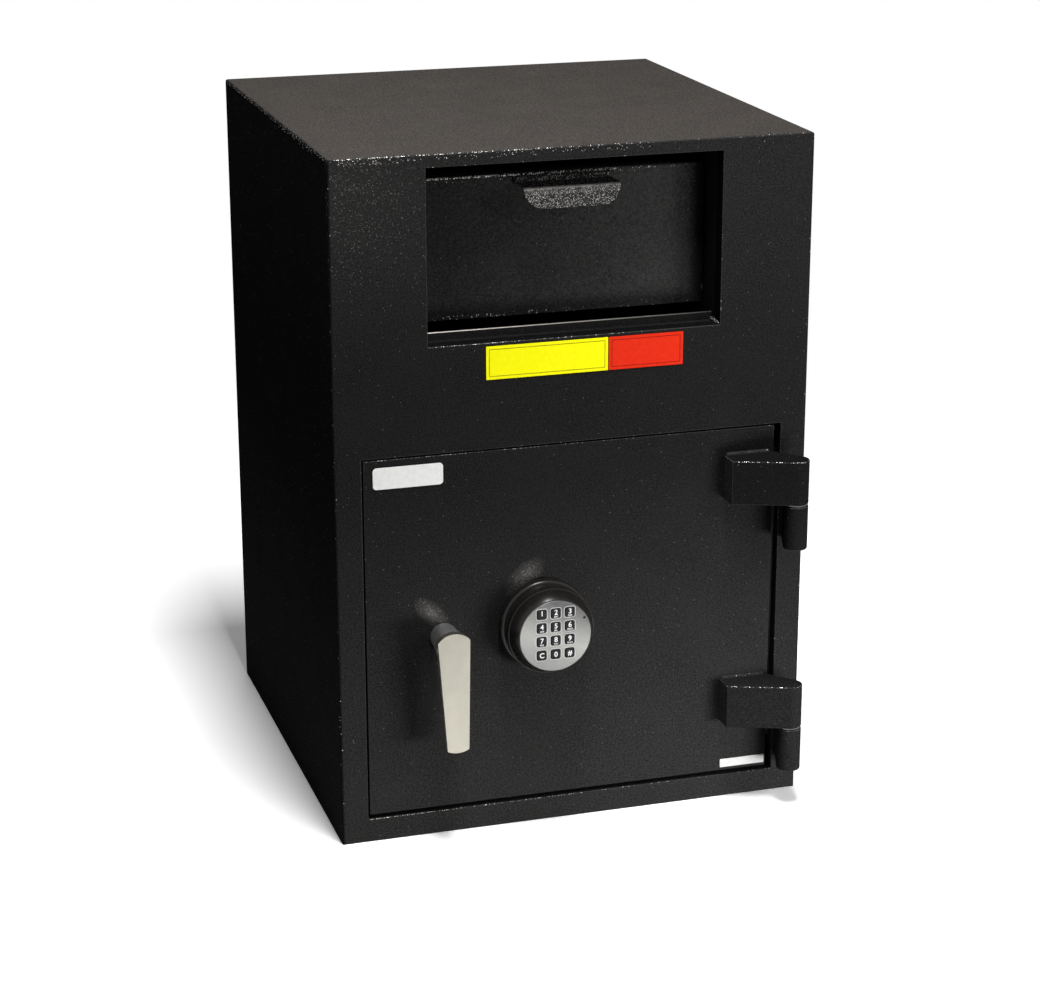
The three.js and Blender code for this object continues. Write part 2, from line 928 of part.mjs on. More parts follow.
function backCover() {
  const front = doorBack + touch;
  const back = coverBack;
  const far = back + overrun;
  let cover = box(coverLeft, coverRight, front, back, coverBottom, coverTop);
  cover = cover.subtract(
    box(
      coverLeft - overrun,
      coverRight - coverWall,
      front - overrun,
      back - coverWall,
      coverBottom + coverWall,
      coverTop - coverWall,
    ),
  );
  const flangeLeft = coverLeft + channelFoot + touch;
  cover = cover.add(
    box(
      flangeLeft,
      coverRight + coverFlange,
      front,
      front + coverWall,
      coverBottom - coverFlange,
      coverTop + coverFlange,
    ).subtract(
      box(
        flangeLeft - overrun,
        coverRight - coverWall,
        front - overrun,
        front + coverWall + overrun,
        coverBottom + coverWall,
        coverTop - coverWall,
      ),
    ),
  );
  cover = cover.subtract(
    box(
      coverLeft - overrun,
      flangeLeft,
      front - overrun,
      front + channelFootWall + touch,
      coverBottom - overrun,
      coverTop + overrun,
    ),
  );
  for (const [x, z] of screwPlaces) {
    cover = cover.subtract(cylinder("y", screwRadius + touch, x, z, front - overrun, far, smallFacets));
  }
  return cover;
}

function coverScrew([x, z]) {
  const seat = doorBack + touch + coverWall + touch;
  const head = cylinder("y", screwHeadRadius, x, z, seat, seat + screwHeadThickness, smallFacets);
  const shank = cylinder("y", screwRadius, x, z, doorBack + touch, seat + touch, smallFacets);
  return head.add(shank);
}

// Keypad
function keypadBase() {
  const thick = keypadBaseThickness;
  return turnedY(
    [
      [leadHoleRadius, touch],
      [keypadBaseRadius, touch],
      [keypadBaseRadius, thick - keypadEdge],
      [keypadBaseRadius - keypadEdge * (1 - Math.SQRT1_2), thick - keypadEdge * (1 - Math.SQRT1_2)],
      [keypadBaseRadius - keypadEdge, thick],
      [leadHoleRadius, thick],
      [leadHoleRadius, touch],
    ],
    keypadX,
    frontFace,
    keypadZ,
  );
}

function keypadHousing() {
  const start = keypadBaseThickness + touch;
  const shoulder = housingFront - housingShoulder;
  const inner = housingRadius - housingWall;
  const bend = (housingRadius + bezelRadius + housingBezel) / 2;
  const bendAhead = shoulder + (housingFront - shoulder) * Math.SQRT1_2;
  return turnedY(
    [
      [inner, start],
      [housingRadius, start],
      [housingRadius, shoulder],
      [(housingRadius + bend) / 2, (shoulder + bendAhead) / 2 + keypadEdge / 2],
      [bend, bendAhead + keypadEdge / 2],
      [bezelRadius + housingBezel / 2, housingFront],
      [bezelRadius, housingFront],
      [bezelRadius, faceBack - touch],
      [inner, faceBack - touch - keypadEdge],
      [inner, start],
    ],
    keypadX,
    frontFace,
    keypadZ,
  );
}

const faceFront = housingFront + facePlateProud;
const faceBack = faceFront - facePlateThickness;
const keymatFront = faceBack - touch - keySkirtThickness - keyTravel - touch;
const keyColumns = [-1, 0, 1];
const keyRows = [1.5, 0.5, -0.5, -1.5];

function keyPlace(column, row) {
  return [keypadX + column * keyPitchX, keypadZ + keysAboveCentre + row * keyPitchZ];
}

function keypadFaceplate() {
  let plate = cylinder(
    "y",
    facePlateRadius,
    keypadX,
    keypadZ,
    frontFace - faceFront,
    frontFace - faceBack,
    fineFacets,
  );
  for (const row of keyRows) {
    for (const column of keyColumns) {
      const [x, z] = keyPlace(column, row);
      const size = keySize + 2 * running;
      const hole = roundedRectangle(x, z, size, size, keyCorner);
      plate = plate.subtract(
        prismY(hole, frontFace - faceFront - overrun, frontFace - faceBack + overrun, keyArc),
      );
    }
  }
  return plate;
}

function keymat() {
  const radius = housingRadius - housingWall - 2 * touch;
  return cylinder(
    "y",
    radius,
    keypadX,
    keypadZ,
    frontFace - keymatFront,
    frontFace - keymatFront + keymatThickness,
    roundFacets,
  );
}

// A key: a cap that comes through the faceplate and a skirt that keeps it in
function keypadKey(column, row) {
  const [x, z] = keyPlace(column, row);
  const front = frontFace - faceFront - keyRise;
  const back = frontFace - faceBack + touch + keySkirtThickness;
  const crown = roundedRectangle(x, z, keySize - 2 * keyEdge, keySize - 2 * keyEdge, keyCorner - keyEdge);
  const cap = roundedRectangle(x, z, keySize, keySize, keyCorner);
  const wide = keySize + 2 * keySkirt;
  const skirt = roundedRectangle(x, z, wide, wide, keyCorner);
  return prismY(crown, front, front + keyEdge + overrun, keyArc)
    .add(prismY(cap, front + keyEdge, back - keySkirtThickness / 2, keyArc))
    .add(prismY(skirt, back - keySkirtThickness, back, keyArc));
}

// Deposit hopper
function hopperFront() {
  const profile = new THREE.Shape();
  const bend = hopperFrontWall;
  profile.moveTo(hopperFace, hopperBottom);
  profile.lineTo(hopperBack, hopperBottom);
  profile.lineTo(hopperBack, hopperTop - hopperFrontWall);
  profile.lineTo(hopperBack + hopperTopFlange, hopperTop - hopperFrontWall);
  profile.lineTo(hopperBack + hopperTopFlange, hopperTop);
  profile.absarc(hopperFace + bend, hopperTop - bend, bend, Math.PI / 2, Math.PI, false);
  return prismX(profile, -hopperHalf, hopperHalf);
}

// The bucket: a tray and two sides bent from one sheet, turning on the rod
function hopperBucket() {
  const back = hopperBack + touch;
  const outer = -trayBelowPivot - bucketWall;
  const reach = Math.sqrt(bucketRadius ** 2 - outer ** 2);
  const start = (back - pivotY - outer * offTray[0]) / alongTray[0];
  const frontTop = Math.sqrt(bucketRadius ** 2 - (back - pivotY) ** 2);
  const [frontY, frontZ] = fromPivot(start, outer);
  const [endY, endZ] = fromPivot(reach, outer);
  const cheek = new THREE.Shape();
  cheek.moveTo(frontY, frontZ);
  cheek.lineTo(endY, endZ);
  cheek.absarc(
    pivotY,
    pivotZ,
    bucketRadius,
    Math.atan2(endZ - pivotZ, endY - pivotY),
    Math.atan2(frontTop, back - pivotY),
    false,
  );
  const trayStart = (back - pivotY + trayBelowPivot * offTray[0]) / alongTray[0];
  const tray = polygon([
    fromPivot(start, outer),
    fromPivot(reach, outer),
    fromPivot(reach, -trayBelowPivot),
    fromPivot(trayStart, -trayBelowPivot),
  ]);
  const left = prismX(cheek, -bucketHalf, -bucketHalf + bucketWall, wideArc);
  const right = prismX(cheek, bucketHalf - bucketWall, bucketHalf, wideArc);
  const bucket = prismX(tray, -bucketHalf + touch, bucketHalf - touch).add(left).add(right);
  const bore = cylinder(
    "x",
    pivotRodRadius + running,
    pivotY,
    pivotZ,
    -bucketHalf - overrun,
    bucketHalf + overrun,
    smallFacets,
  );
  return bucket.subtract(bore);
}

// The pull: a flange on the hopper's front, a web that comes out, and a lip bent down
function hopperPull() {
  const root = hopperFace - touch;
  const top = hopperTop - pullBelowEdge;
  const web = top - pullFlange;
  const nose = hopperFace - pullReach;
  const inner = pullBend - pullWall;
  const profile = new THREE.Shape();
  profile.moveTo(root, top);
  profile.lineTo(root - pullWall, top);
  profile.lineTo(root - pullWall, web);
  profile.absarc(nose + pullBend, web - pullBend, pullBend, Math.PI / 2, Math.PI, false);
  profile.lineTo(nose, web - pullLip);
  profile.lineTo(nose + pullWall, web - pullLip);
  profile.absarc(nose + pullBend, web - pullBend, inner, Math.PI, Math.PI / 2, true);
  profile.lineTo(root, web - pullWall);
  const half = pullWidth / 2;
  const front = new THREE.Shape();
  const low = web - pullLip;
  front.moveTo(half, top + overrun);
  front.lineTo(-half, top + overrun);
  front.absarc(-half + pullCorner, low + pullCorner, pullCorner, Math.PI, 1.5 * Math.PI, false);
  front.absarc(half - pullCorner, low + pullCorner, pullCorner, 1.5 * Math.PI, 2 * Math.PI, false);
  const slab = prismX(profile, -half, half);
  return slab.intersect(prismY(front, nose - overrun, root + overrun));
}

// Thin stickers on the front plate and the door
function sticker(x0, x1, z0, z1, corner) {
  const shape = roundedRectangle((x0 + x1) / 2, (z0 + z1) / 2, x1 - x0, z1 - z0, corner);
  return prismY(shape, frontFace - touch - stickerThickness, frontFace - touch, keyArc);
}

const cabinet = addGroup("cabinet");
add(cabinet, "body_wrap", bodyWrap(), paint);
add(cabinet, "floor_plate", floorPlate(), paint);
add(cabinet, "back_panel", backPanel(), paint);
add(cabinet, "front_frame", frontFrame(), paint);
add(cabinet, "recess_frame", recessFrame(), paint);
add(cabinet, "hopper_cheek_left", hopperCheek(-1), paint);
add(cabinet, "hopper_cheek_right", hopperCheek(1), paint);
add(cabinet, "hopper_baffle", hopperBaffle(), paint);
add(cabinet, "pivot_rod", pivotRod(), plainSteel);
add(cabinet, "stop_bumper_left", stopBumper(-1), rubber);
add(cabinet, "stop_bumper_right", stopBumper(1), rubber);

const labelTop = openingBottom - labelBelowOpening;
const labelBottom = labelTop - labelHeight;
const labelLeft = -(yellowLabelWidth + labelGap + redLabelWidth) / 2 + labelPairShift;
const yellowRight = labelLeft + yellowLabelWidth;
const redLeft = yellowRight + labelGap;
const redRight = redLeft + redLabelWidth;
for (const [name, left, right, film] of [
  ["yellow_label", labelLeft, yellowRight, yellowFilm],
  ["red_label", redLeft, redRight, redFilm],
]) {
  add(cabinet, name, sticker(left, right, labelBottom, labelTop, labelCorner), film);
}

const door = addGroup("door");
add(door, "door_plate", doorPlate(), paint);
add(door, "dead_bar", deadBar(), plainSteel);
add(door, "bolt_channel", boltChannel(), paint);
add(door, "guide_stud", guideStud(), plainSteel);
add(door, "lock_body", lockBody(), zincPlate);
add(door, "back_cover", backCover(), paint);
screwPlaces.forEach((place, index) => {
  add(door, "cover_screw_" + (index + 1), coverScrew(place), zincPlate);
});
add(door, "keypad_base", keypadBase(), blackPlastic);
add(door, "keypad_housing", keypadHousing(), blackPlastic);
add(door, "keypad_faceplate", keypadFaceplate(), silverPlastic);
add(door, "keymat", keymat(), rubber);

const plateLeft = doorLeft + namePlateFromLatchEdge;
const plateTop = doorTop - namePlateBelowTop;
add(
  door,
  "name_plate",
  sticker(
    plateLeft,
    plateLeft + namePlateWidth,
    plateTop - namePlateHeight,
    plateTop,
    namePlateCorner,
  ),
  whiteFilm,
);
const serialRight = doorRight - serialLabelFromHingeEdge;
const serialBottom = doorBottom + serialLabelAboveBottom;
add(
  door,
  "serial_label",
  sticker(
    serialRight - serialLabelWidth,
    serialRight,
    serialBottom,
    serialBottom + serialLabelHeight,
    labelCorner,
  ),
  whiteFilm,
);

for (const [name, bottom] of [
  ["upper", upperStrapBottom],
  ["lower", lowerStrapBottom],
]) {
  add(door, name + "_hinge_strap", hingeStrap(bottom), paint);
  add(cabinet, name + "_hinge_knuckle", hingeKnuckle(bottom), paint);
  add(cabinet, name + "_hinge_washer", hingeWasher(bottom), brightSteel);
  add(cabinet, name + "_hinge_pin", hingePin(bottom), plainSteel);
}

const handle = addGroup("handle");
const lever = add(handle, "lever_handle", leverHandle(), nickel);
lever.position.set(handleX, 0, handleZ);
lever.rotation.y = -bladeLean;
add(handle, "spindle", spindle(), darkNickel);
add(handle, "bolt_cam", boltCam(), plainSteel);

const boltwork = addGroup("boltwork");
add(boltwork, "bolt_bar", boltBar(), plainSteel);
["lower", "middle", "upper"].forEach((name, index) => {
  add(boltwork, name + "_locking_bolt", lockingBolt(boltHeights[index]), brightSteel);
});

const lock = addGroup("lock");
add(lock, "lock_bolt", lockBolt(), plainSteel);

const keyNames = [
  ["key_1", "key_2", "key_3"],
  ["key_4", "key_5", "key_6"],
  ["key_7", "key_8", "key_9"],
  ["key_clear", "key_0", "key_hash"],
];
const keys = addGroup("keys");
keyRows.forEach((row, line) => {
  keyColumns.forEach((column, place) => {
    add(keys, keyNames[line][place], keypadKey(column, row), keyPlastic);
  });
});

const hopper = addGroup("hopper");
add(hopper, "hopper_front", hopperFront(), paint);
add(hopper, "hopper_bucket", hopperBucket(), paint);
add(hopper, "hopper_pull", hopperPull(), paint);

export default safe;
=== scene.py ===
# Drop safe with a deposit drawer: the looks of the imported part.
# Metres, in the part's own frame: +X right and +Y to the rear as seen from in front, +Z up.

from itertools import product
from math import acos, asin, atan2, cos, hypot, pi, radians, sin, sqrt

import bmesh
import bpy
from mathutils import Matrix, Vector


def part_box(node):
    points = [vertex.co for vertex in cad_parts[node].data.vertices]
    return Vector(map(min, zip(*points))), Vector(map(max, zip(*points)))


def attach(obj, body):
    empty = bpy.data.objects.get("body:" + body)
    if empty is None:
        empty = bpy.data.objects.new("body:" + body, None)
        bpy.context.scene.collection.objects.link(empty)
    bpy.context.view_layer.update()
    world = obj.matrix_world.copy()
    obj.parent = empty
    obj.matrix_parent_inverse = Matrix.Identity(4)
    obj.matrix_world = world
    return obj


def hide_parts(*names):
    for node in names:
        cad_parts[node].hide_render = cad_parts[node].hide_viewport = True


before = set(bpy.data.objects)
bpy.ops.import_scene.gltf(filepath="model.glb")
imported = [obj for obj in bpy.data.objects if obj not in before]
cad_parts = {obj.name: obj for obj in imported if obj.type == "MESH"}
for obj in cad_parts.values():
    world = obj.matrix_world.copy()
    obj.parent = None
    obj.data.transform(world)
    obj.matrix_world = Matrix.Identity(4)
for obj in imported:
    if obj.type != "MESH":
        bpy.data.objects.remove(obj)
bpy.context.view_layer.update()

mm = 0.001
eps = 0.02 * mm
overrun = 1 * mm

# Camera, at the photograph's angle
camera_azimuth = radians(-16.92)
camera_elevation = radians(18.13)
camera_roll = radians(-0.1)
camera_distance = 3.0102
camera_target = Vector((0.01747, 0, 0.27448))
camera_sensor = 36
camera_lens = 92.297

# Cabinet
wall = 3.4 * mm
front_wall = 6.35 * mm
wrap_bend = 5 * mm
front_edge = 2.2 * mm
side_edge = 3.4 * mm
rear_edge = 1.2 * mm
cut_edge = 1.2 * mm
inner_edge = 0.4 * mm
jamb_wall = 6.35 * mm
jamb_depth = 12 * mm
recess_wall = 3 * mm
recess_depth = 17 * mm
sill_depth = 28 * mm
lip_height = 8.5 * mm
lip_wall = 3 * mm
latch_gap = 1.8 * mm
hinge_gap = 7.4 * mm
top_gap = 1.8 * mm
bottom_gap = 5.2 * mm

# Rounded edges of the other steel parts
door_bend = 1.8 * mm
drawer_bend = 2.4 * mm
case_edge = 2 * mm
plate_edge = 0.8 * mm
bar_edge = 0.6 * mm
sheet_edge = 0.5 * mm
bolt_edge = 0.3 * mm
part_edge = 0.4 * mm

# Hinges and welds
barrel_radius = 12.65 * mm
strap_end_thickness = 23.4 * mm
strap_heel = 3 * mm
knuckle_foot = 18 * mm
strap_edge = 1.1 * mm
pin_radius = 6.2 * mm
pin_room = 0.3 * mm
stud_share = 0.99
strap_weld = 2.6 * mm
knuckle_weld = 1.8 * mm
weld_inset = 2 * mm
weld_sink_share = 0.2
weld_pitch = 2.4 * mm
weld_wander = 0.9 / mm
weld_ripple_share = 0.12
sill_weld = 1.7 * mm
sill_weld_pitch = 3.3 * mm
sill_weld_ripple_share = 0.6

# The sill's weld: inward from the end, behind the front and above the sill
sill_weld_places = (
    (1 * mm, 2 * mm, 0.5 * mm),
    (1.5 * mm, 12 * mm, 1 * mm),
    (1.2 * mm, sill_depth - 4 * mm, 2 * mm),
)

# Pull of the drawer
pull_flange = 7 * mm
pull_drop = 2.6 * mm
pull_sheet = 2.5 * mm
pull_bend = 5 * mm
pull_corner = 21 * mm
pull_tilt = 4 * mm
pull_edge = 0.7 * mm

# Lever handle
handle_reach = 43 * mm
face_room = 0.1 * mm
hub_radius = 14.4 * mm
hub_front_radius = 17 * mm
hub_front_taper = 0.6 * mm
hub_waist_room = 0.5 * mm
hub_taper_share = 0.35
hub_waist_share = 0.6
hub_standoff = 0.6 * mm
hub_groove_from_door = 5 * mm
hub_groove_width = 1.2 * mm
hub_groove_depth = 0.9 * mm
head_width = 34 * mm
head_rise = 17.3 * mm
head_arc_radius = 21.6 * mm
blade_length = 114 * mm
blade_tip_width = 23 * mm
blade_tip_radius = 24 * mm
blade_thickness = 8 * mm
blade_tip_thickness = 5 * mm
blade_blend = 34 * mm
blade_lean = radians(1.7)
blade_edge = 0.9 * mm

# Keypad: the housing's foot goes inward and forward, its rim outward and back
ring_bore = 6 * mm
ring_room = 0.3 * mm
base_foot_edge = 0.8 * mm
base_shoulder = 4 * mm
housing_wall = 4.5 * mm
housing_foot = ((1.6 * mm, 0.3 * mm), (1.2 * mm, 1.6 * mm), (0.5 * mm, 2.2 * mm), (0, 3 * mm))
housing_rim = ((0.6 * mm, 0), (0.3 * mm, 0.3 * mm), (0.3 * mm, 4 * mm))
housing_cavity = 7 * mm
dome_chamfer = 1 * mm
dome_chamfer_share = 0.3
dome_depth = 14 * mm
dome_lean = 3.6 * mm
dome_fall = 5 * mm
dome_rim = 0.9 * mm
faceplate_edge = 0.5 * mm
key_size = 10.4 * mm
key_corner = 2 * mm
key_pitch_x = 15.1 * mm
key_pitch_z = 14.95 * mm
keys_above_centre = 2.5 * mm
key_hole_room = 0.7 * mm
key_hole_corner = 2.4 * mm
key_skirt = 1 * mm
key_crown_rise = 0.8 * mm
key_crown_inset = 1.6 * mm
key_crown_corner = 1.4 * mm
key_edge = 0.35 * mm
key_outline = 0.7 * mm
outline_room = 0.9 * mm
outline_corner = 2.45 * mm
symbol_size = 7.6 * mm
symbol_bold_share = 0.02
letter_size = 2.6 * mm
letter_drop = 3.4 * mm
digit_rise = 1.2 * mm
print_thickness = 0.06 * mm
key_rows = ("123", "456", "789", "C0#")
key_names = {"C": "key_clear", "#": "key_hash"}
key_letters = dict(zip("23456789", ("ABC", "DEF", "GHI", "JKL", "MNO", "PRS", "TUV", "WXY")))
lamp_radius = 1.5 * mm
lamp_rise = 0.7 * mm
lamp_right = 31 * mm
lamp_above = 17 * mm

# Stickers
sticker_corner = 0.8 * mm
name_plate_corner = 4 * mm
sticker_edge = 0.15 * mm
border_inset = 3 * mm
border_line = 0.7 * mm

# Places that the part's boxes give
wrap_low, wrap_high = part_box("body_wrap")
door_low, door_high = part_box("door_plate")
recess_low, recess_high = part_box("recess_frame")
drawer_low, drawer_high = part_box("hopper_front")
plate_low, plate_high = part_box("keypad_faceplate")
half_width = wrap_high[0]
front = wrap_low[1]
rear = wrap_high[1]
height = wrap_high[2]
opening_half = recess_high[0] - recess_wall
opening_bottom = recess_low[2] + recess_wall
opening_top = recess_high[2] - recess_wall

# Holes of the front: left, right, bottom and top
doorway = (
    door_low[0] - latch_gap,
    door_high[0] + hinge_gap,
    door_low[2] - bottom_gap,
    door_high[2] + top_gap,
)
opening = (-opening_half, opening_half, opening_bottom, opening_top)


def centre_of(node):
    """The middle of a node's box."""
    low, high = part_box(node)
    return [(a + b) / 2 for a, b in zip(low, high)]


lever_x, _, lever_z = centre_of("spindle")
keypad_x, _, keypad_z = centre_of("keypad_base")


# Geometry helpers
def placed(name, data):
    """A new object in the scene."""
    piece = bpy.data.objects.new(name, data)
    bpy.context.scene.collection.objects.link(piece)
    return piece


def mesh_of(bm, name):
    bmesh.ops.recalc_face_normals(bm, faces=bm.faces)
    mesh = bpy.data.meshes.new(name)
    bm.to_mesh(mesh)
    bm.free()
    return mesh


def new_piece(name, bm, material, sharp=None):
    """An object from a bmesh, shaded smooth but for edges sharper than so many degrees."""
    mesh = mesh_of(bm, name)
    mesh.materials.append(material)
    mesh.shade_smooth()
    if sharp:
        mesh.set_sharp_from_angle(angle=radians(sharp))
    return placed(name, mesh)


def bevelled(piece, width, segments=3, angle=35, edge_material=None, by_weight=False):
    """Rounds the sharp edges; the rounding can have a material of its own."""
    bevel = piece.modifiers.new("edges", "BEVEL")
    bevel.width = width
    bevel.segments = segments
    bevel.limit_method = "WEIGHT" if by_weight else "ANGLE"
    bevel.angle_limit = radians(angle)
    bevel.miter_outer = "MITER_ARC"
    if edge_material is not None:
        piece.data.materials.append(edge_material)
        bevel.material = 1
    piece.modifiers.new("normals", "WEIGHTED_NORMAL").keep_sharp = True


def repaint(piece, material, chosen):
    """Gives the faces that a test picks a material of their own."""
    piece.data.materials.append(material)
    last = len(piece.data.materials) - 1
    for face in piece.data.polygons:
        if chosen(face):
            face.material_index = last


def install(piece, body, slot, *nodes):
    """Makes a piece ride on a body and hides the nodes that it stands for; slot is not used."""
    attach(piece, body)
    if nodes:
        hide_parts(*nodes)
    return piece


def spot(axis, level, a, b):
    """A place from its level along an axis and the other two coordinates in their own order."""
    place = [a, b]
    place.insert("xyz".index(axis), level)
    return place


def skin(loops, closed=False):
    """A surface through loops of as many points, which is capped or closes on itself."""
    bm = bmesh.new()
    loops = [[bm.verts.new(point) for point in loop] for loop in loops]
    pairs = list(zip(loops, loops[1:]))
    if closed:
        pairs.append((loops[-1], loops[0]))
    else:
        bm.faces.new(loops[0])
        bm.faces.new(loops[-1])
    for near, far in pairs:
        for i in range(len(near)):
            j = (i + 1) % len(near)
            bm.faces.new((near[i], near[j], far[j], far[i]))
    return bm


def prism(points, axis, low, high):
    """An outline of two coordinates, drawn out along the third axis."""
    return skin([[spot(axis, level, *point) for point in points] for level in (low, high)])


def turned(profile, axis, a, b, segments, closed=True):
    """A ring or a solid turned about an axis through (a, b); the profile is (radius, level)."""
    angles = [2 * pi * k / segments for k in range(segments)]
    rings = []
    for radius, level in profile:
        circle = [(a + radius * cos(t), b + radius * sin(t)) for t in angles]
        rings.append([spot(axis, level, *point) for point in circle])
    return skin(rings, closed)


def ring_between(outer, inner, axis, low, high):
    """A closed band between two outlines of as many points, drawn out along an axis."""
    edges = ((outer, low), (inner, low), (inner, high), (outer, high))
    loops = [[spot(axis, level, *point) for point in points] for points, level in edges]
    return skin(loops, closed=True)


def arc(a, b, radius, start, end, steps):
    """Points along an arc, both ends included."""
    angles = [start + (end - start) * k / steps for k in range(steps + 1)]
    return [(a + radius * cos(t), b + radius * sin(t)) for t in angles]


def bowed(start, pull, end, steps):
    """Points on a curve that leaves its start, is drawn towards a place and ends at another."""
    points = []
    for t in (step / steps for step in range(1, steps + 1)):
        weights = ((1 - t) ** 2, 2 * t * (1 - t), t**2)
        points.append(tuple(sum(w * c for w, c in zip(weights, row)) for row in zip(start, pull, end)))
    return points


def rounded_box(a, b, width, height, corner):
    """The outline of a rectangle with round corners, centred on (a, b)."""
    w = width / 2 - corner
    h = height / 2 - corner
    quarter = pi / 2
    points = []
    for k, (side, rise) in enumerate(((1, 1), (-1, 1), (-1, -1), (1, -1))):
        points += arc(a + side * w, b + rise * h, corner, k * quarter, (k + 1) * quarter, 8)
    return points


def lattice(xs, ys, zs, filled):
    """The solid made of those cells of a grid whose middle is filled."""
    bm = bmesh.new()
    cuts = (xs, ys, zs)
    verts = {}

    def vert(index):
        if index not in verts:
            verts[index] = bm.verts.new([cut[i] for cut, i in zip(cuts, index)])
        return verts[index]

    def solid(index):
        if any(i < 0 or i >= len(cut) - 1 for cut, i in zip(cuts, index)):
            return False
        return filled(*[(cut[i] + cut[i + 1]) / 2 for cut, i in zip(cuts, index)])

    def side_of(cell, axis, side):
        """The face of a cell towards one of its neighbours."""
        corners = []
        for u, v in ((0, 0), (1, 0), (1, 1), (0, 1)):
            corner = list(cell)
            corner[axis] += side
            corner[(axis + 1) % 3] += u
            corner[(axis + 2) % 3] += v
            corners.append(vert(tuple(corner)))
        bm.faces.new(corners)

    for cell in filter(solid, product(*[range(len(cut)) for cut in cuts])):
        for axis, side in product(range(3), (0, 1)):
            beside = list(cell)
            beside[axis] += 2 * side - 1
            if not solid(beside):
                side_of(cell, axis, side)
    bmesh.ops.dissolve_limit(bm, angle_limit=radians(1), verts=bm.verts, edges=bm.edges)
    return bm


def bead(name, path, radius, material, ripple=weld_ripple_share, pitch=weld_pitch):
    """A weld bead: a tube along a path of points, with the ripples that the torch leaves."""
    sides = 10
    points = [Vector(point) for point in path]
    lengths = [0]
    for near, far in zip(points, points[1:]):
        lengths.append(lengths[-1] + (far - near).length)
    steps = max(6, int(lengths[-1] / pitch * 4))
    rings = []
    for step in range(steps + 1):
        along = lengths[-1] * step / steps
        k = max(i for i in range(len(points) - 1) if lengths[i] <= along + eps)
        span = lengths[k + 1] - lengths[k]
        place = points[k].lerp(points[k + 1], min(1, (along - lengths[k]) / span))
        direction = (points[k + 1] - points[k]).normalized()
        side = direction.orthogonal().normalized()
        other = direction.cross(side)
        wave = 1 + ripple * sin(2 * pi * along / pitch + sin(along * weld_wander))
        taper = min(1, 0.35 + 0.35 * min(step, steps - step))
        circle = arc(0, 0, radius * wave * taper, 0, 2 * pi, sides)[:-1]
        rings.append([place + a * side + b * other for a, b in circle])
    return new_piece(name, skin(rings), material)


def dressed(node, body, slot, material, width=part_edge, segments=2, edge_material=None, bend=None):
    """A copy of a node's mesh with its edges rounded and a finish of its own.

    The edges of its front can have a wider rounding, as of a bent sheet."""
    bm = bmesh.new()
    bm.from_mesh(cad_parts[node].data)
    bmesh.ops.remove_doubles(bm, verts=bm.verts, dist=eps)
    bmesh.ops.dissolve_limit(bm, angle_limit=radians(0.5), verts=bm.verts, edges=bm.edges)
    if bend:
        face_y = min(vert.co.y for vert in bm.verts)
        weight = bm.edges.layers.float.new("bevel_weight_edge")
        for edge in bm.edges:
            if len(edge.link_faces) == 2 and edge.calc_face_angle() > radians(35):
                in_front = all(abs(vert.co.y - face_y) < eps for vert in edge.verts)
                edge[weight] = 1 if in_front else width / bend
    piece = new_piece(node + "_form", bm, material)
    bevelled(piece, bend or width, segments, edge_material=edge_material, by_weight=bool(bend))
    return install(piece, body, slot, node)


def temporary(bm):
    """A closed body for the cuts and joins below."""
    return placed("tool", mesh_of(bm, "tool"))


def baked(holder):
    """A new mesh of what an object looks like with its modifiers."""
    depsgraph = bpy.context.evaluated_depsgraph_get()
    return bpy.data.meshes.new_from_object(holder.evaluated_get(depsgraph))


def combined(piece, operation, bm):
    """Joins a closed body with another or cuts it, and leaves the result in the first."""
    other = temporary(bm)
    step = piece.modifiers.new("solid", "BOOLEAN")
    step.operation = operation
    step.solver = "EXACT"
    step.object = other
    spent = (piece.data, other.data)
    result = baked(piece)
    piece.modifiers.remove(step)
    piece.data = result
    bpy.data.objects.remove(other)
    for mesh in spent:
        bpy.data.meshes.remove(mesh)


def finished(piece, name, material):
    """Names the result of the cuts and joins and gives it a material."""
    piece.name = name
    piece.data.materials.clear()
    piece.data.materials.append(material)
    piece.data.shade_smooth()


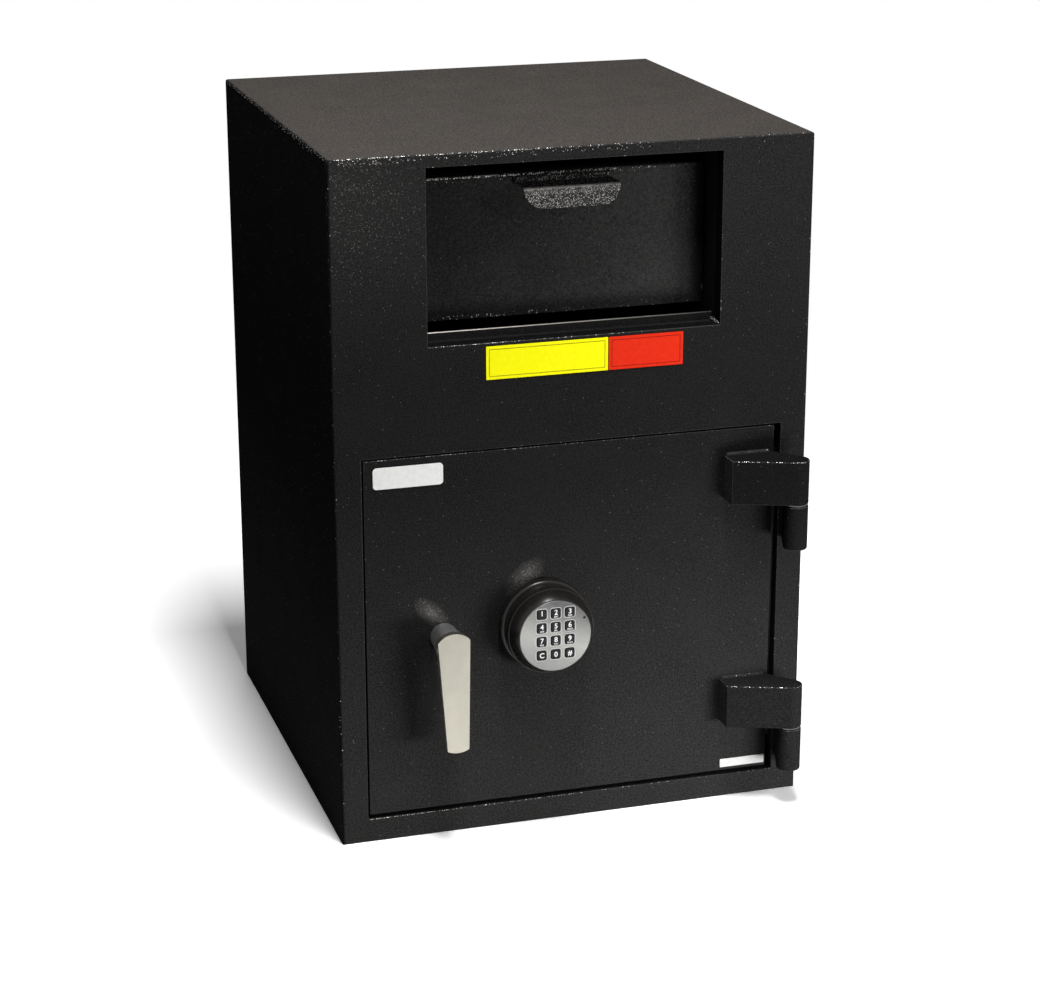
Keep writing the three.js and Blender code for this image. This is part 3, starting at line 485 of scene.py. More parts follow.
# Materials
class Wiring:
    """Short ways to add nodes to a shader tree."""

    def __init__(self, tree):
        self.tree = tree
        self.place = self.add("TexCoord").outputs["Object"]
        self.level = self.add("SeparateXYZ", {"Vector": self.place}).outputs

    def feed(self, socket, value):
        """Sets a socket to a constant or links it to the output of another node."""
        if isinstance(value, bpy.types.NodeSocket):
            self.tree.links.new(value, socket)
        elif socket.type == "RGBA":
            socket.default_value = (*value, 1)
        else:
            socket.default_value = value

    def add(self, kind, inputs=None, operation=None):
        """A new node, with its inputs fed by name or number."""
        node = self.tree.nodes.new("ShaderNode" + kind)
        if operation:
            node.operation = operation
        for socket, value in (inputs or {}).items():
            self.feed(node.inputs[socket], value)
        return node

    def math(self, operation, *values):
        return self.add("Math", dict(enumerate(values)), operation).outputs[0]

    def plus(self, a, b):
        return self.math("ADD", a, b)

    def minus(self, a, b):
        return self.math("SUBTRACT", a, b)

    def times(self, first, *others):
        for other in others:
            first = self.math("MULTIPLY", first, other)
        return first

    def distance(self, a, b):
        squares = self.plus(self.math("POWER", a, 2), self.math("POWER", b, 2))
        return self.math("SQRT", squares)

    def between(self, value, low, high, out_low=0, out_high=1, smooth=False):
        """A value's way from low to high as a way between two other values."""
        limits = {"From Min": low, "From Max": high, "To Min": out_low, "To Max": out_high}
        node = self.add("MapRange", {"Value": value, **limits})
        if smooth:
            node.interpolation_type = "SMOOTHSTEP"
        return node.outputs["Result"]

    def spread(self, noise, low=0, high=1):
        """A noise's usual values as a way between two values."""
        return self.between(noise, 0.3, 0.7, low, high)

    def mixed(self, fac, first, second):
        return self.add("MixShader", {"Fac": fac, 1: first, 2: second}).outputs[0]

    def plain_sight(self):
        """1 for what the camera, reflections and clear parts see, and 0 for scattered light."""
        rays = self.add("LightPath").outputs
        both = self.math("MAXIMUM", rays["Is Camera Ray"], rays["Is Glossy Ray"])
        return self.math("MAXIMUM", both, rays["Is Transmission Ray"])


class Finish(Wiring):
    """A material under construction, with its shader and what its colour and relief need."""

    def __init__(self, name, colour, roughness, metallic=0.0, specular=0.5):
        self.material = bpy.data.materials.new(name)
        self.material.use_nodes = True
        super().__init__(self.material.node_tree)
        self.shader = self.tree.nodes["Principled BSDF"]
        self.set("Base Color", colour)
        self.set("Roughness", roughness)
        self.set("Metallic", metallic)
        self.set("Specular IOR Level", specular)

    def set(self, socket, value):
        self.feed(self.shader.inputs[socket], value)

    def stretched(self, scale):
        return self.add("Mapping", {"Vector": self.place, "Scale": scale}).outputs["Vector"]

    def noise(self, size, detail=2.0, roughness=0.5, place=None):
        inputs = {"Scale": 1 / size, "Detail": detail, "Roughness": roughness}
        return self.add("TexNoise", {"Vector": place or self.place, **inputs}).outputs["Fac"]

    def cells(self, size, feature="F1"):
        """The distance from the middle of a cell, and a value of each cell's own."""
        node = self.add("TexVoronoi", {"Vector": self.place, "Scale": 1 / size})
        node.feature = feature
        tint = self.add("SeparateColor", {"Color": node.outputs["Color"]})
        return node.outputs["Distance"], tint.outputs["Red"]

    def scaled(self, colour, factor):
        return self.add("VectorMath", {0: colour, "Scale": factor}, "SCALE").outputs["Vector"]

    def toned(self, colour, tones):
        """A colour that changes between two places, for each (axis, from, to, share, share)."""
        for axis, start, end, first, last in tones:
            colour = self.scaled(colour, self.between(self.level[axis], start, end, first, last))
        return colour

    def blend(self, fac, a, b):
        node = self.add("Mix")
        node.data_type = "RGBA"
        self.feed(node.inputs["Factor"], fac)
        for socket, value in zip([s for s in node.inputs if s.type == "RGBA"], (a, b)):
            self.feed(socket, value)
        return next(socket for socket in node.outputs if socket.type == "RGBA")

    def bump(self, relief, depth):
        bump = self.add("Bump", {"Height": relief, "Distance": depth, "Strength": 1.0})
        self.set("Normal", bump.outputs["Normal"])

    def upward(self):
        """The upward part of the surface's direction: 0 for a wall and 1 for a level top."""
        normal = self.add("NewGeometry").outputs["Normal"]
        return self.add("SeparateXYZ", {"Vector": normal}).outputs["Z"]


# Powder coat
coat_dark = (0.0111, 0.0109, 0.0109)
coat_light = (0.0148, 0.0145, 0.0143)
# Dust on the top, light enough to stand for the top's sheen as well: dust and painted sheen
dust_and_sheen = (0.062, 0.0558, 0.0512)
# Colour of the flecks and of the painted glows and highlights
fleck_and_painted_glow_colour = (0.62, 0.6, 0.57)
cloud_size = 60 * mm
patch_size = 9 * mm
grain_size = 1.8 * mm
lump_size = 1.5 * mm
fleck_size = 1 * mm
chip_size = 0.9 * mm
pull_fleck_size = 0.8 * mm
speck_size = 0.7 * mm
coat_relief = 0.3 * mm
stray_share = 0.0012
side_turn = (half_width - 6.5 * mm, half_width - 3 * mm)
# Painted glints thin out from the left to the right, as the highlight fades
painted_glint_fading = (-240 * mm, 100 * mm)
# The dust and painted sheen fade a little to the right
dust_and_sheen_fading = (-200 * mm, 200 * mm)
# Painted glows and their specks keep to the front's outer face
painted_glow_depth = (front + 8 * mm, front + 4 * mm)

# Grain of the other finishes
metal_line = 1 * mm
metal_cloud = 14 * mm
metal_relief = 0.01 * mm
plastic_grain = 0.35 * mm
plastic_cloud = 9 * mm
plastic_relief = 0.012 * mm
rubber_grain = 0.8 * mm
rubber_relief = 0.03 * mm
ink_cloud = 5 * mm
film_peel = 0.7 * mm
film_relief = 0.008 * mm
spin_pitch = 0.7 * mm
spin_cloud = 9 * mm
spin_waver = 12 * mm
spin_relief = 0.004 * mm
# Painted highlight low on the left and painted shade at the top of the faceplate
painted_highlight_limits = (-38 * mm, -2 * mm)
painted_shade_limits = (2 * mm, 42 * mm)


def glow_oval(coat, x, z, slope, length, width):
    """1 at the middle of a sloping oval on the front and 0 outside it."""
    aside, above = coat.minus(coat.level["X"], x), coat.minus(coat.level["Z"], z)
    run, rise = cos(slope), sin(slope)
    along = coat.plus(coat.times(aside, run), coat.times(above, rise))
    across = coat.minus(coat.times(above, run), coat.times(aside, rise))
    away = coat.distance(coat.times(along, 1 / length), coat.times(across, 1 / width))
    return coat.times(coat.between(away, 1, 0), coat.between(coat.level["Y"], *painted_glow_depth))


def textured_coat(
    name, dark=coat_dark, light=coat_light, flecks=0, edge_flecks=0, size=fleck_size,
    painted_glows=(), tones=(), bands=(), right_share=0.08, side_share=1,
):
    """Black powder coat with a pebbled texture and bright metal flecks set as painted glints.

    Most flecks sit on the shoulders of the upper edges, and right_share of them are left at
    the right, where the painted glints fade. Painted glows are ovals of painted glints and
    reflections on the front: x, z, slope, half the length and the width, glow, share of the
    specks. Bands are level strips of painted glints and painted highlight: lowest and highest
    z, share of the flecks, glow. Tones are painted light and shade along an axis. By
    side_share the colour is scaled where the coat turns to the cabinet's sides. The top gets
    dust, made light enough to stand for its sheen."""
    coat = Finish(name, dark, 0.5, specular=0.0)
    wide = coat.noise(cloud_size, 3)
    grain = coat.noise(grain_size, 2, 0.6)
    patches = coat.noise(patch_size, 2)
    lumps, _ = coat.cells(lump_size, "SMOOTH_F1")
    near, tint = coat.cells(size)
    upward = coat.upward()
    x, y, z = coat.level

    # Bright metal flecks as painted glints, on the shoulders and in the bands; the bands also get a
    # painted highlight
    sideways = coat.math("ABSOLUTE", x)
    inward = coat.between(sideways, *side_turn, 1, 0.1)
    shoulder = coat.times(coat.between(upward, 0.08, 0.3), coat.between(upward, 0.96, 0.8))
    shoulder = coat.times(shoulder, inward)
    glint_fade = coat.between(x, *painted_glint_fading, 1, right_share)
    patchy = coat.between(patches, 0.3, 0.55, 0.3, 1)
    share = coat.plus(coat.times(shoulder, glint_fade, patchy, edge_flecks), flecks)
    painted_highlight = 0
    for low, high, dense, glow in bands:
        inside = coat.times(coat.math("GREATER_THAN", z, low), coat.math("LESS_THAN", z, high))
        inside = coat.times(inside, coat.math("LESS_THAN", y, 0), inward)
        share = coat.plus(coat.times(inside, glint_fade, patchy, dense), share)
        painted_highlight = coat.plus(coat.times(inside, patchy, glow), painted_highlight)
    picked = coat.math("LESS_THAN", tint, share)
    fleck = coat.times(picked, coat.between(near, 0.55, 0.3))

    # The coat's own shade, then the painted light and shade of the tones
    shade = coat.blend(coat.spread(wide), dark, light)
    grained = coat.blend(coat.between(grain, 0.36, 0.66), shade, tuple(1.8 * c for c in light))
    grained = coat.toned(grained, tones)
    if side_share != 1:
        grained = coat.scaled(grained, coat.between(sideways, *side_turn, 1, side_share))
    if bands:
        grained = coat.blend(painted_highlight, grained, fleck_and_painted_glow_colour)

    # Finer specks everywhere, and in the ovals painted glows with denser specks
    speck, speck_tint = coat.cells(speck_size)
    thick = stray_share
    for *oval, glow, dense in painted_glows:
        glow_share = glow_oval(coat, *oval)
        thick = coat.plus(coat.times(glow_share, glow_share, dense), thick)
        glow_share = coat.times(glow_share, coat.spread(grain, 0.5, 1), glow)
        grained = coat.blend(glow_share, grained, fleck_and_painted_glow_colour)
    sparse = coat.math("LESS_THAN", speck_tint, thick)
    fleck = coat.math("MAXIMUM", fleck, coat.times(sparse, coat.between(speck, 0.5, 0.25), 0.6))

    # Dust on the cabinet's top, light enough to stand for its sheen: dust and painted sheen
    top = coat.math("GREATER_THAN", z, height - wrap_bend)
    uneven = coat.times(coat.between(wide, 0.2, 0.8, 0.9, 1.05), coat.spread(grain, 0.5, 1.5))
    dust_and_sheen_mask = coat.times(coat.between(upward, 0.8, 0.98), top)
    film = coat.scaled(dust_and_sheen, coat.times(uneven, coat.between(x, *dust_and_sheen_fading, 1.03, 0.94)))
    coat.set("Base Color", coat.blend(fleck, coat.blend(dust_and_sheen_mask, grained, film), fleck_and_painted_glow_colour))
    coat.set("Metallic", coat.times(fleck, 0.9))
    coat.set("Roughness", coat.between(fleck, 0, 1, 0.55, 0.3))
    coat.bump(coat.plus(coat.times(lumps, 0.7), coat.times(grain, 0.6)), coat_relief)
    return coat.material


def brushed_metal(name, colour, roughness, stretch, metallic=1.0, tones=()):
    """Metal with fine lines along one axis and a slight unevenness."""
    metal = Finish(name, colour, roughness, metallic)
    lines = metal.noise(metal_line, 3, 0.6, metal.stretched(stretch))
    cloud = metal.noise(metal_cloud, 2)
    shade = metal.blend(metal.spread(cloud), tuple(0.92 * c for c in colour), colour)
    # Tones scale the colour along an axis: painted light and shade
    metal.set("Base Color", metal.toned(shade, tones))
    metal.set("Roughness", metal.spread(lines, roughness - 0.06, roughness + 0.08))
    metal.bump(lines, metal_relief)
    return metal.material


def moulded_plastic(name, colour, roughness, specular, grain=plastic_grain, depth=plastic_relief):
    """Plastic with the fine even grain of its mould."""
    plastic = Finish(name, colour, roughness, specular=specular)
    fine = plastic.noise(grain, 2, 0.6)
    cloud = plastic.noise(plastic_cloud, 2)
    light = tuple(1.25 * c for c in colour)
    plastic.set("Base Color", plastic.blend(plastic.spread(cloud), colour, light))
    plastic.set("Roughness", plastic.spread(fine, roughness - 0.05, roughness + 0.07))
    plastic.bump(fine, depth)
    return plastic.material


def vinyl_film(name, colour, darker):
    """A printed vinyl sticker: slightly uneven ink over a fine orange peel."""
    film = Finish(name, colour, 0.38, specular=0.03)
    ink = film.noise(ink_cloud, 3)
    peel = film.noise(film_peel, 2)
    film.set("Base Color", film.blend(film.between(ink, 0.35, 0.65), darker, colour))
    film.set("Roughness", film.spread(peel, 0.32, 0.46))
    film.bump(peel, film_relief)
    return film.material


def spun_silver():
    """The satin faceplate: spun about its centre, with a painted highlight low on the left and painted
    shade at its top.
    """
    metal = Finish("silver_plate", (0.3, 0.3, 0.29), 0.4, 0.7)
    x = metal.minus(metal.level["X"], keypad_x)
    z = metal.minus(metal.level["Z"], keypad_z)
    turns = metal.math("SINE", metal.times(metal.distance(x, z), 2 * pi / spin_pitch))
    slant = metal.plus(metal.times(x, 0.35), z)
    slant = metal.plus(slant, metal.times(metal.noise(spin_cloud, 3), spin_waver))
    lower = metal.between(slant, *painted_highlight_limits)
    upper = metal.between(slant, *painted_shade_limits)
    # Painted highlight low on the left, painted shade at the top
    pale = metal.blend(lower, (0.19,) * 3, (0.30, 0.30, 0.285))
    metal.set("Base Color", metal.blend(upper, pale, (0.09,) * 3))
    metal.set("Roughness", metal.between(turns, -1, 1, 0.36, 0.48))
    metal.bump(turns, spin_relief)
    return metal.material


# Paint of the cabinet, the door and the drawer
# Painted glints at the front's upper left corner: x, z, slope, half the length and the width, glow,
# share of the specks
corner_painted_glints = (-0.235, 0.70, 0, 0.14, 0.16, 0.015, 0.08)
# Painted reflections of the keypad and the hub on the door beside them
keypad_painted_reflection = (-0.055, 0.277, 0.75, 0.028, 0.015, 0.13, 0.45)
hub_painted_reflection = (-0.155, 0.2485, -0.75, 0.025, 0.012, 0.13, 0.4)
# Painted light and shade on the front: lighter low down and at the top, darker between
lower_painted_light = ("Z", 0.06, 0.38, 1.5, 0.72)
upper_painted_light = ("Z", 0.5, 0.68, 1, 1.5)
# Dense flecks along the front's top edge: painted glints
frame_painted_glints = (height - 7 * mm, height - 2 * mm, 0.16, 0)
# The drawer lighter to the right and dark at its right end: painted light and the painted shadow of
# the jamb
drawer_painted_light = (("X", -0.12, 0.1, 0.9, 1.8), ("X", 0.137, 0.152, 1, 0.2))
# Painted glints along the drawer's top edge, sparser below it, and along its bottom
drawer_painted_glints = (
    (drawer_high[2] - 3.4 * mm, drawer_high[2] - 1.2 * mm, 1.5, 0),
    (drawer_high[2] - 7 * mm, drawer_high[2] - 2.2 * mm, 0.08, 0),
    (drawer_low[2], drawer_low[2] + 4 * mm, 0.2, 0),
)
paint = textured_coat("black_powder_coat")
# The cabinet's coat: painted glints at the corner and along the top, painted light and shade by height
frame_paint = textured_coat(
    "powder_coat_on_frame", painted_glows=(corner_painted_glints,), tones=(lower_painted_light, upper_painted_light), bands=(frame_painted_glints,)
)
# The door's coat: painted reflections beside the keypad and the hub, painted light and shade by height
door_paint = textured_coat("powder_coat_on_door", painted_glows=(keypad_painted_reflection, hub_painted_reflection), tones=(lower_painted_light,))
# The drawer's coat: painted light, the painted shadow at its right end and painted glints along its
# edges
drawer_paint = textured_coat("powder_coat_on_drawer", tones=drawer_painted_light, bands=drawer_painted_glints)
# Its rounded edges: the same painted light and the painted glint line along the top
drawer_edge_paint = textured_coat(
    "powder_coat_on_drawer_edges", tones=drawer_painted_light, bands=drawer_painted_glints[:1]
)
# A nearly black coat for the inside of the recess: painted shade
recess_painted_shade = textured_coat("painted_shade_in_recess", (0.003,) * 3, (0.0045,) * 3)
# A lighter coat on the rounded edges, with flecks on their shoulders: a painted highlight and painted
# glints, less where the coat turns to the sides
edge_paint_with_painted_highlight = textured_coat(
    "powder_coat_with_painted_highlight_on_edges", (0.02,) * 3, (0.026,) * 3, 0.01, 0.75, side_share=0.45
)

# Paint of the hinges, the pull and the welds
# The hinge arms' coat is darker than the door's, and lighter low down than higher up: painted shade
# and light
strap_painted_light = ("Z", 0.1, 0.36, 1.45, 0.7)
hinge_paint_with_painted_shade = textured_coat(
    "powder_coat_with_painted_shade_on_hinges", (0.0072,) * 3, (0.0094,) * 3, tones=(strap_painted_light,)
)
# A lighter coat on the straps' left end faces: painted light
strap_end_painted_light = textured_coat("powder_coat_on_strap_ends", (0.02,) * 3, (0.028,) * 3)
# Edges of the hinge straps, with painted glints on their shoulders
strap_edge_paint = textured_coat(
    "powder_coat_on_strap_edges", (0.011,) * 3, (0.015,) * 3, 0, 0.7, right_share=0.75
)
pull_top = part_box("hopper_pull")[1][2] - pull_flange
# A painted highlight along the pull's top bend and a fainter one below it, with painted glints
pull_painted_highlights = (
    (pull_top - 2.6 * mm, pull_top - 0.5 * mm, 0.25, 0.42),
    (pull_top - 8 * mm, pull_top - 2.6 * mm, 0.25, 0.06),
)
# A lighter coat with many flecks on the pull: painted light and painted glints
pull_paint_with_painted_light = textured_coat(
    "powder_coat_with_painted_light_on_pull", (0.014,) * 3, (0.025,) * 3, 0.2, 0.6, pull_fleck_size, bands=pull_painted_highlights
)
# A lighter coat on the strap welds: a painted highlight
weld_paint_with_painted_highlight = textured_coat("powder_coat_with_painted_highlight_on_welds", (0.018,) * 3, (0.026,) * 3, 0.01, 0.2)
chipped_paint = textured_coat("chipped_coat", (0.012,) * 3, (0.02,) * 3, 0.4, 0.2, chip_size)

# Bare and plated metal
# The lever's blade lighter low down than at the hub: painted light
blade_painted_light = ("Z", lever_z - blade_length, lever_z, 1.14, 0.95)
# The hub darker below its axis and lighter on top: painted shade and light
hub_painted_shade = ("Z", lever_z - 0.5 * hub_radius, lever_z + hub_radius, 0.35, 1.35)
# The sill lip's bright top fading to the right: a painted highlight
lip_painted_highlight_fade = ("X", -0.1, 0.15, 1, 0.2)
steel = brushed_metal("plain_steel", (0.33, 0.33, 0.34), 0.4, (1, 1, 8), 0.95)
bright = brushed_metal("bright_steel", (0.62, 0.63, 0.65), 0.18, (8, 1, 1))
nickel = brushed_metal(
    "satin_nickel", (0.345, 0.33, 0.283), 0.36, (6, 6, 0.5), tones=(blade_painted_light,)
)
# Paler nickel on the lever's rounded rim: a painted highlight
nickel_rim_painted_highlight = brushed_metal("nickel_rim_painted_highlight", (0.56, 0.54, 0.48), 0.3, (6, 6, 0.5))
# The hub's nickel takes the hub's painted shade and light
hub_nickel = brushed_metal("hub_nickel", (0.42, 0.425, 0.42), 0.4, (1, 8, 1), tones=(hub_painted_shade,))
dark_metal = brushed_metal("dark_nickel", (0.16, 0.16, 0.17), 0.3, (1, 6, 1))
black_steel = brushed_metal("blackened_steel", (0.03, 0.03, 0.032), 0.5, (1, 1, 8), 0.3)
washer_steel = brushed_metal("washer_steel", (0.16, 0.16, 0.155), 0.45, (4, 4, 1))
# Bare metal on the sill lip's top from wear, fading to the right as a painted highlight
worn_edge_and_painted_highlight = brushed_metal("worn_edge_and_painted_highlight", (0.36, 0.34, 0.31), 0.34, (0.3, 6, 6), 0.8, (lip_painted_highlight_fade,))
zinc = brushed_metal("zinc_plate", (0.40, 0.40, 0.38), 0.42, (1, 1, 1), 0.8)
silver = spun_silver()

# Plastic, rubber, stickers and ink
black_plastic = moulded_plastic("black_plastic", (0.0085, 0.0075, 0.007), 0.26, 0.27)
key_plastic = moulded_plastic("key_plastic", (0.009, 0.008, 0.010), 0.35, 0.15)
rubber = moulded_plastic("rubber", (0.012,) * 3, 0.8, 0.2, rubber_grain, rubber_relief)
yellow = vinyl_film("yellow_vinyl", (0.921, 0.888, 0.0072), (0.89, 0.85, 0.006))
red = vinyl_film("red_vinyl", (0.714, 0.030, 0.0108), (0.66, 0.026, 0.009))
white = vinyl_film("white_vinyl", (0.80, 0.80, 0.78), (0.74, 0.74, 0.73))
olive_ink = vinyl_film("olive_ink", (0.30, 0.28, 0.01), (0.24, 0.22, 0.01))
red_ink = vinyl_film("dark_red_ink", (0.30, 0.012, 0.008), (0.24, 0.01, 0.007))
outline_ink = vinyl_film("pale_outline_ink", (0.62, 0.62, 0.6), (0.56, 0.56, 0.54))
white_ink = vinyl_film("white_ink", (0.85,) * 3, (0.78,) * 3)


# Cabinet: the welded and ground shell
def within(x, z, hole, margin=0):
    """Whether a place of the front lies in a hole, or in the margin around it."""
    left, right, bottom, top = hole
    return left - margin < x < right + margin and bottom - margin < z < top + margin


def cabinet_shell():
    left, right, bottom, top = doorway
    xs = [-half_width, -half_width + wall, left - jamb_wall, left]
    xs += [-opening_half - recess_wall, -opening_half, opening_half, opening_half + recess_wall]
    xs += [right, right + jamb_wall, half_width - wall, half_width]
    ys = [front, front + front_wall, front + jamb_depth, front + recess_depth]
    ys += [front + sill_depth, rear - wall, rear]
    zs = [0, bottom - jamb_wall, bottom, top, top + jamb_wall]
    zs += [opening_bottom - recess_wall, opening_bottom, opening_top]
    zs += [opening_top + recess_wall, height - wall, height]

    def filled(x, y, z):
        if abs(x) > half_width - wall or z > height - wall or y > rear - wall:
            return True
        if within(x, z, doorway) or within(x, z, opening):
            return False
        if y < front + front_wall:
            return True
        if y < front + jamb_depth and within(x, z, doorway, jamb_wall):
            return True
        depth = sill_depth if z < opening_bottom else recess_depth
        return y < front + depth and within(x, z, opening, recess_wall)

    bm = lattice(xs, ys, zs, filled)
    weight = bm.edges.layers.float.new("bevel_weight_edge")
    for edge in bm.edges:
        if len(edge.link_faces) != 2 or edge.calc_face_angle() < radians(45):
            continue
        x, y, z = (edge.verts[0].co + edge.verts[1].co) / 2
        on_side = abs(abs(x) - half_width) < eps
        on_top = abs(z - height) < eps
        on_front = abs(y - front) < eps
        on_rear = abs(y - rear) < eps
        width = inner_edge
        if on_side and on_top:
            width = wrap_bend
        elif on_front and on_side:
            width = side_edge
        elif on_front and (on_top or z < eps):
            width = front_edge
        elif on_front:
            width = cut_edge
        elif on_rear and (on_side or on_top):
            width = rear_edge
        edge[weight] = width / wrap_bend
    return bm


def in_recess(face):
    x, y, z = face.center
    deep = front + front_edge < y < front + recess_depth + eps
    return deep and within(x, z, opening, eps) and face.material_index == 0


shell = new_piece("cabinet_shell", cabinet_shell(), frame_paint)
bevelled(shell, wrap_bend, 5, edge_material=edge_paint_with_painted_highlight, by_weight=True)
# The inside of the recess takes the nearly black coat: painted shade
repaint(shell, recess_painted_shade, in_recess)
install(shell, "cabinet", "paint", "body_wrap", "front_frame", "back_panel", "recess_frame")


def sill_lip():
    """The turned-up rear edge of the deposit sill, bare metal along its top from wear, with a painted
    highlight.
    """
    back = front + sill_depth
    top = opening_bottom + lip_height
    profile = [(back - lip_wall, opening_bottom), (back, opening_bottom)]
    profile += arc(back - lip_wall / 2, top - lip_wall / 2, lip_wall / 2, 0, pi, 8)
    return prism(profile, "x", -opening_half, opening_half)


lip = new_piece("sill_lip", sill_lip(), paint, sharp=40)
# Its top takes bare metal: wear with a painted highlight
repaint(lip, worn_edge_and_painted_highlight, lambda face: face.normal.z > 0.35)
install(lip, "cabinet", "paint")

dressed("floor_plate", "cabinet", "paint", paint, plate_edge)
for name in ("hopper_cheek_left", "hopper_cheek_right", "hopper_baffle"):
    dressed(name, "cabinet", "paint", paint)
dressed("pivot_rod", "cabinet", "steel", steel)
for side in ("left", "right"):
    dressed("stop_bumper_" + side, "cabinet", "rubber", rubber, plate_edge, 3)


# Hinges
def touching_angles(px, py, cx, cy, radius):
    """Where lines from a point touch a circle, as two angles on the circle."""
    towards = atan2(py - cy, px - cx)
    half = acos(radius / hypot(px - cx, py - cy))
    return towards - half, towards + half


def hinge_arm(name, body, foot, x, y, edges):
    """An arm whose outline runs from the points of its foot to the barrel and around it."""
    low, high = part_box(name.replace("_", "_hinge_"))
    first = touching_angles(*foot[-1], x, y, barrel_radius)[1]
    last = touching_angles(*foot[0], x, y, barrel_radius)[0] + 2 * pi
    outline = foot + arc(x, y, barrel_radius, first, last, 40)
    # Hinge arms take the darker hinge coat: painted shade and light
    arm = new_piece(name + "_form", prism(outline, "z", low[2], high[2]), hinge_paint_with_painted_shade)
    bevelled(arm, strap_edge, edge_material=edges)
    return install(arm, body, "paint", name.replace("_", "_hinge_"))


def weld_on_front(name, body, radius, material, start, end):
    path = [(x, front - weld_sink_share * strap_weld, z) for x, z in (start, end)]
    install(bead(name, path, radius, material), body, "paint")


def hinge(name):
    strap_low, strap_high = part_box(name + "_hinge_strap")
    knuckle_low, knuckle_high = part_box(name + "_hinge_knuckle")
    washer_low, washer_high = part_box(name + "_hinge_washer")
    x, y, _ = centre_of(name + "_hinge_pin")
    near = strap_high[1]
    free = strap_low[0]
    heel = door_high[0] - strap_heel
    foot = [(heel, near), (free, near), (free, near - strap_end_thickness)]
    strap = hinge_arm(name + "_strap", "door", foot, x, y, strap_edge_paint)
    # The strap's left end faces take the lighter coat: painted light
    repaint(strap, strap_end_painted_light, lambda face: face.normal.x < -0.9)
    right = knuckle_high[0]
    left = right - knuckle_foot
    foot = [(right, near), (left, near)]
    hinge_arm(name + "_knuckle", "cabinet", foot, x, y, edge_paint_with_painted_highlight)

    radius = (washer_high[0] - washer_low[0]) / 2
    bore = pin_radius + pin_room
    low, high = washer_low[2], washer_high[2]
    rim = (high - low) / 4
    profile = [(bore, low), (radius - rim, low), (radius, low + rim)]
    profile += [(radius, high - rim), (radius - rim, high), (bore, high)]
    washer = new_piece(name + "_washer_form", turned(profile, "z", x, y, 64), washer_steel, 30)
    install(washer, "cabinet", "steel", name + "_hinge_washer")
    dressed(name + "_hinge_pin", "cabinet", "steel", steel, bar_edge)

    for label, z in (("_strap_weld_top", strap_high[2]), ("_strap_weld_bottom", strap_low[2])):
        ends = ((free + weld_inset, z), (heel - weld_inset, z))
        weld_on_front(name + label, "door", strap_weld, weld_paint_with_painted_highlight, *ends)
    for label, x in (("_knuckle_weld_left", left), ("_knuckle_weld_right", right)):
        ends = ((x, knuckle_low[2] + weld_inset), (x, knuckle_high[2] - weld_inset))
        weld_on_front(name + label, "cabinet", knuckle_weld, paint, *ends)


hinge("upper")
hinge("lower")

# Door
dressed("door_plate", "door", "paint", door_paint, plate_edge, 4, edge_paint_with_painted_highlight, door_bend)
dressed("dead_bar", "door", "steel", black_steel, plate_edge)
dressed("bolt_channel", "door", "paint", paint, sheet_edge)
stud = dressed("guide_stud", "door", "steel", steel)
stud_centre = Vector(centre_of("guide_stud"))
for vert in stud.data.vertices:
    vert.co = stud_centre.lerp(vert.co, stud_share)
dressed("lock_body", "door", "steel", zinc, case_edge, 3)
dressed("back_cover", "door", "paint", paint, sheet_edge)
for number in range(1, 5):
    dressed("cover_screw_" + str(number), "door", "steel", zinc)
dressed("bolt_bar", "boltwork", "steel", steel, bar_edge)
dressed("lock_bolt", "lock_bolt", "steel", steel, plate_edge)
for name in ("lower", "middle", "upper"):
    dressed(name + "_locking_bolt", "boltwork", "bright", bright, bolt_edge)
dressed("bolt_cam", "handle", "steel", steel, bar_edge)
dressed("spindle", "handle", "dark", dark_metal)


# Lever handle, drawn on its own axis and then leant and set on the spindle
def lever_outline():
    head = acos(head_width / 2 / head_arc_radius)
    tip = asin(blade_tip_width / 2 / blade_tip_radius)
    top = arc(0, head_rise - head_arc_radius, head_arc_radius, head, pi - head, 24)
    low = blade_tip_radius - blade_length
    return top + arc(0, low, blade_tip_radius, -pi / 2 - tip, -pi / 2 + tip, 12)


def lever_depth(z):
    """How thick the blade is at a height from the axis: thin at the tip, deep at the hub."""
    if z < -blade_blend:
        share = (z + blade_length) / (blade_length - blade_blend)
        return blade_tip_thickness + (blade_thickness - blade_tip_thickness) * share
    if z < -hub_radius:
        share = (z + blade_blend) / (blade_blend - hub_radius)
        rise = 1 - sqrt(max(0, 1 - share**2))
        return blade_thickness + (handle_reach / 2 - blade_thickness) * rise
    return blade_thickness


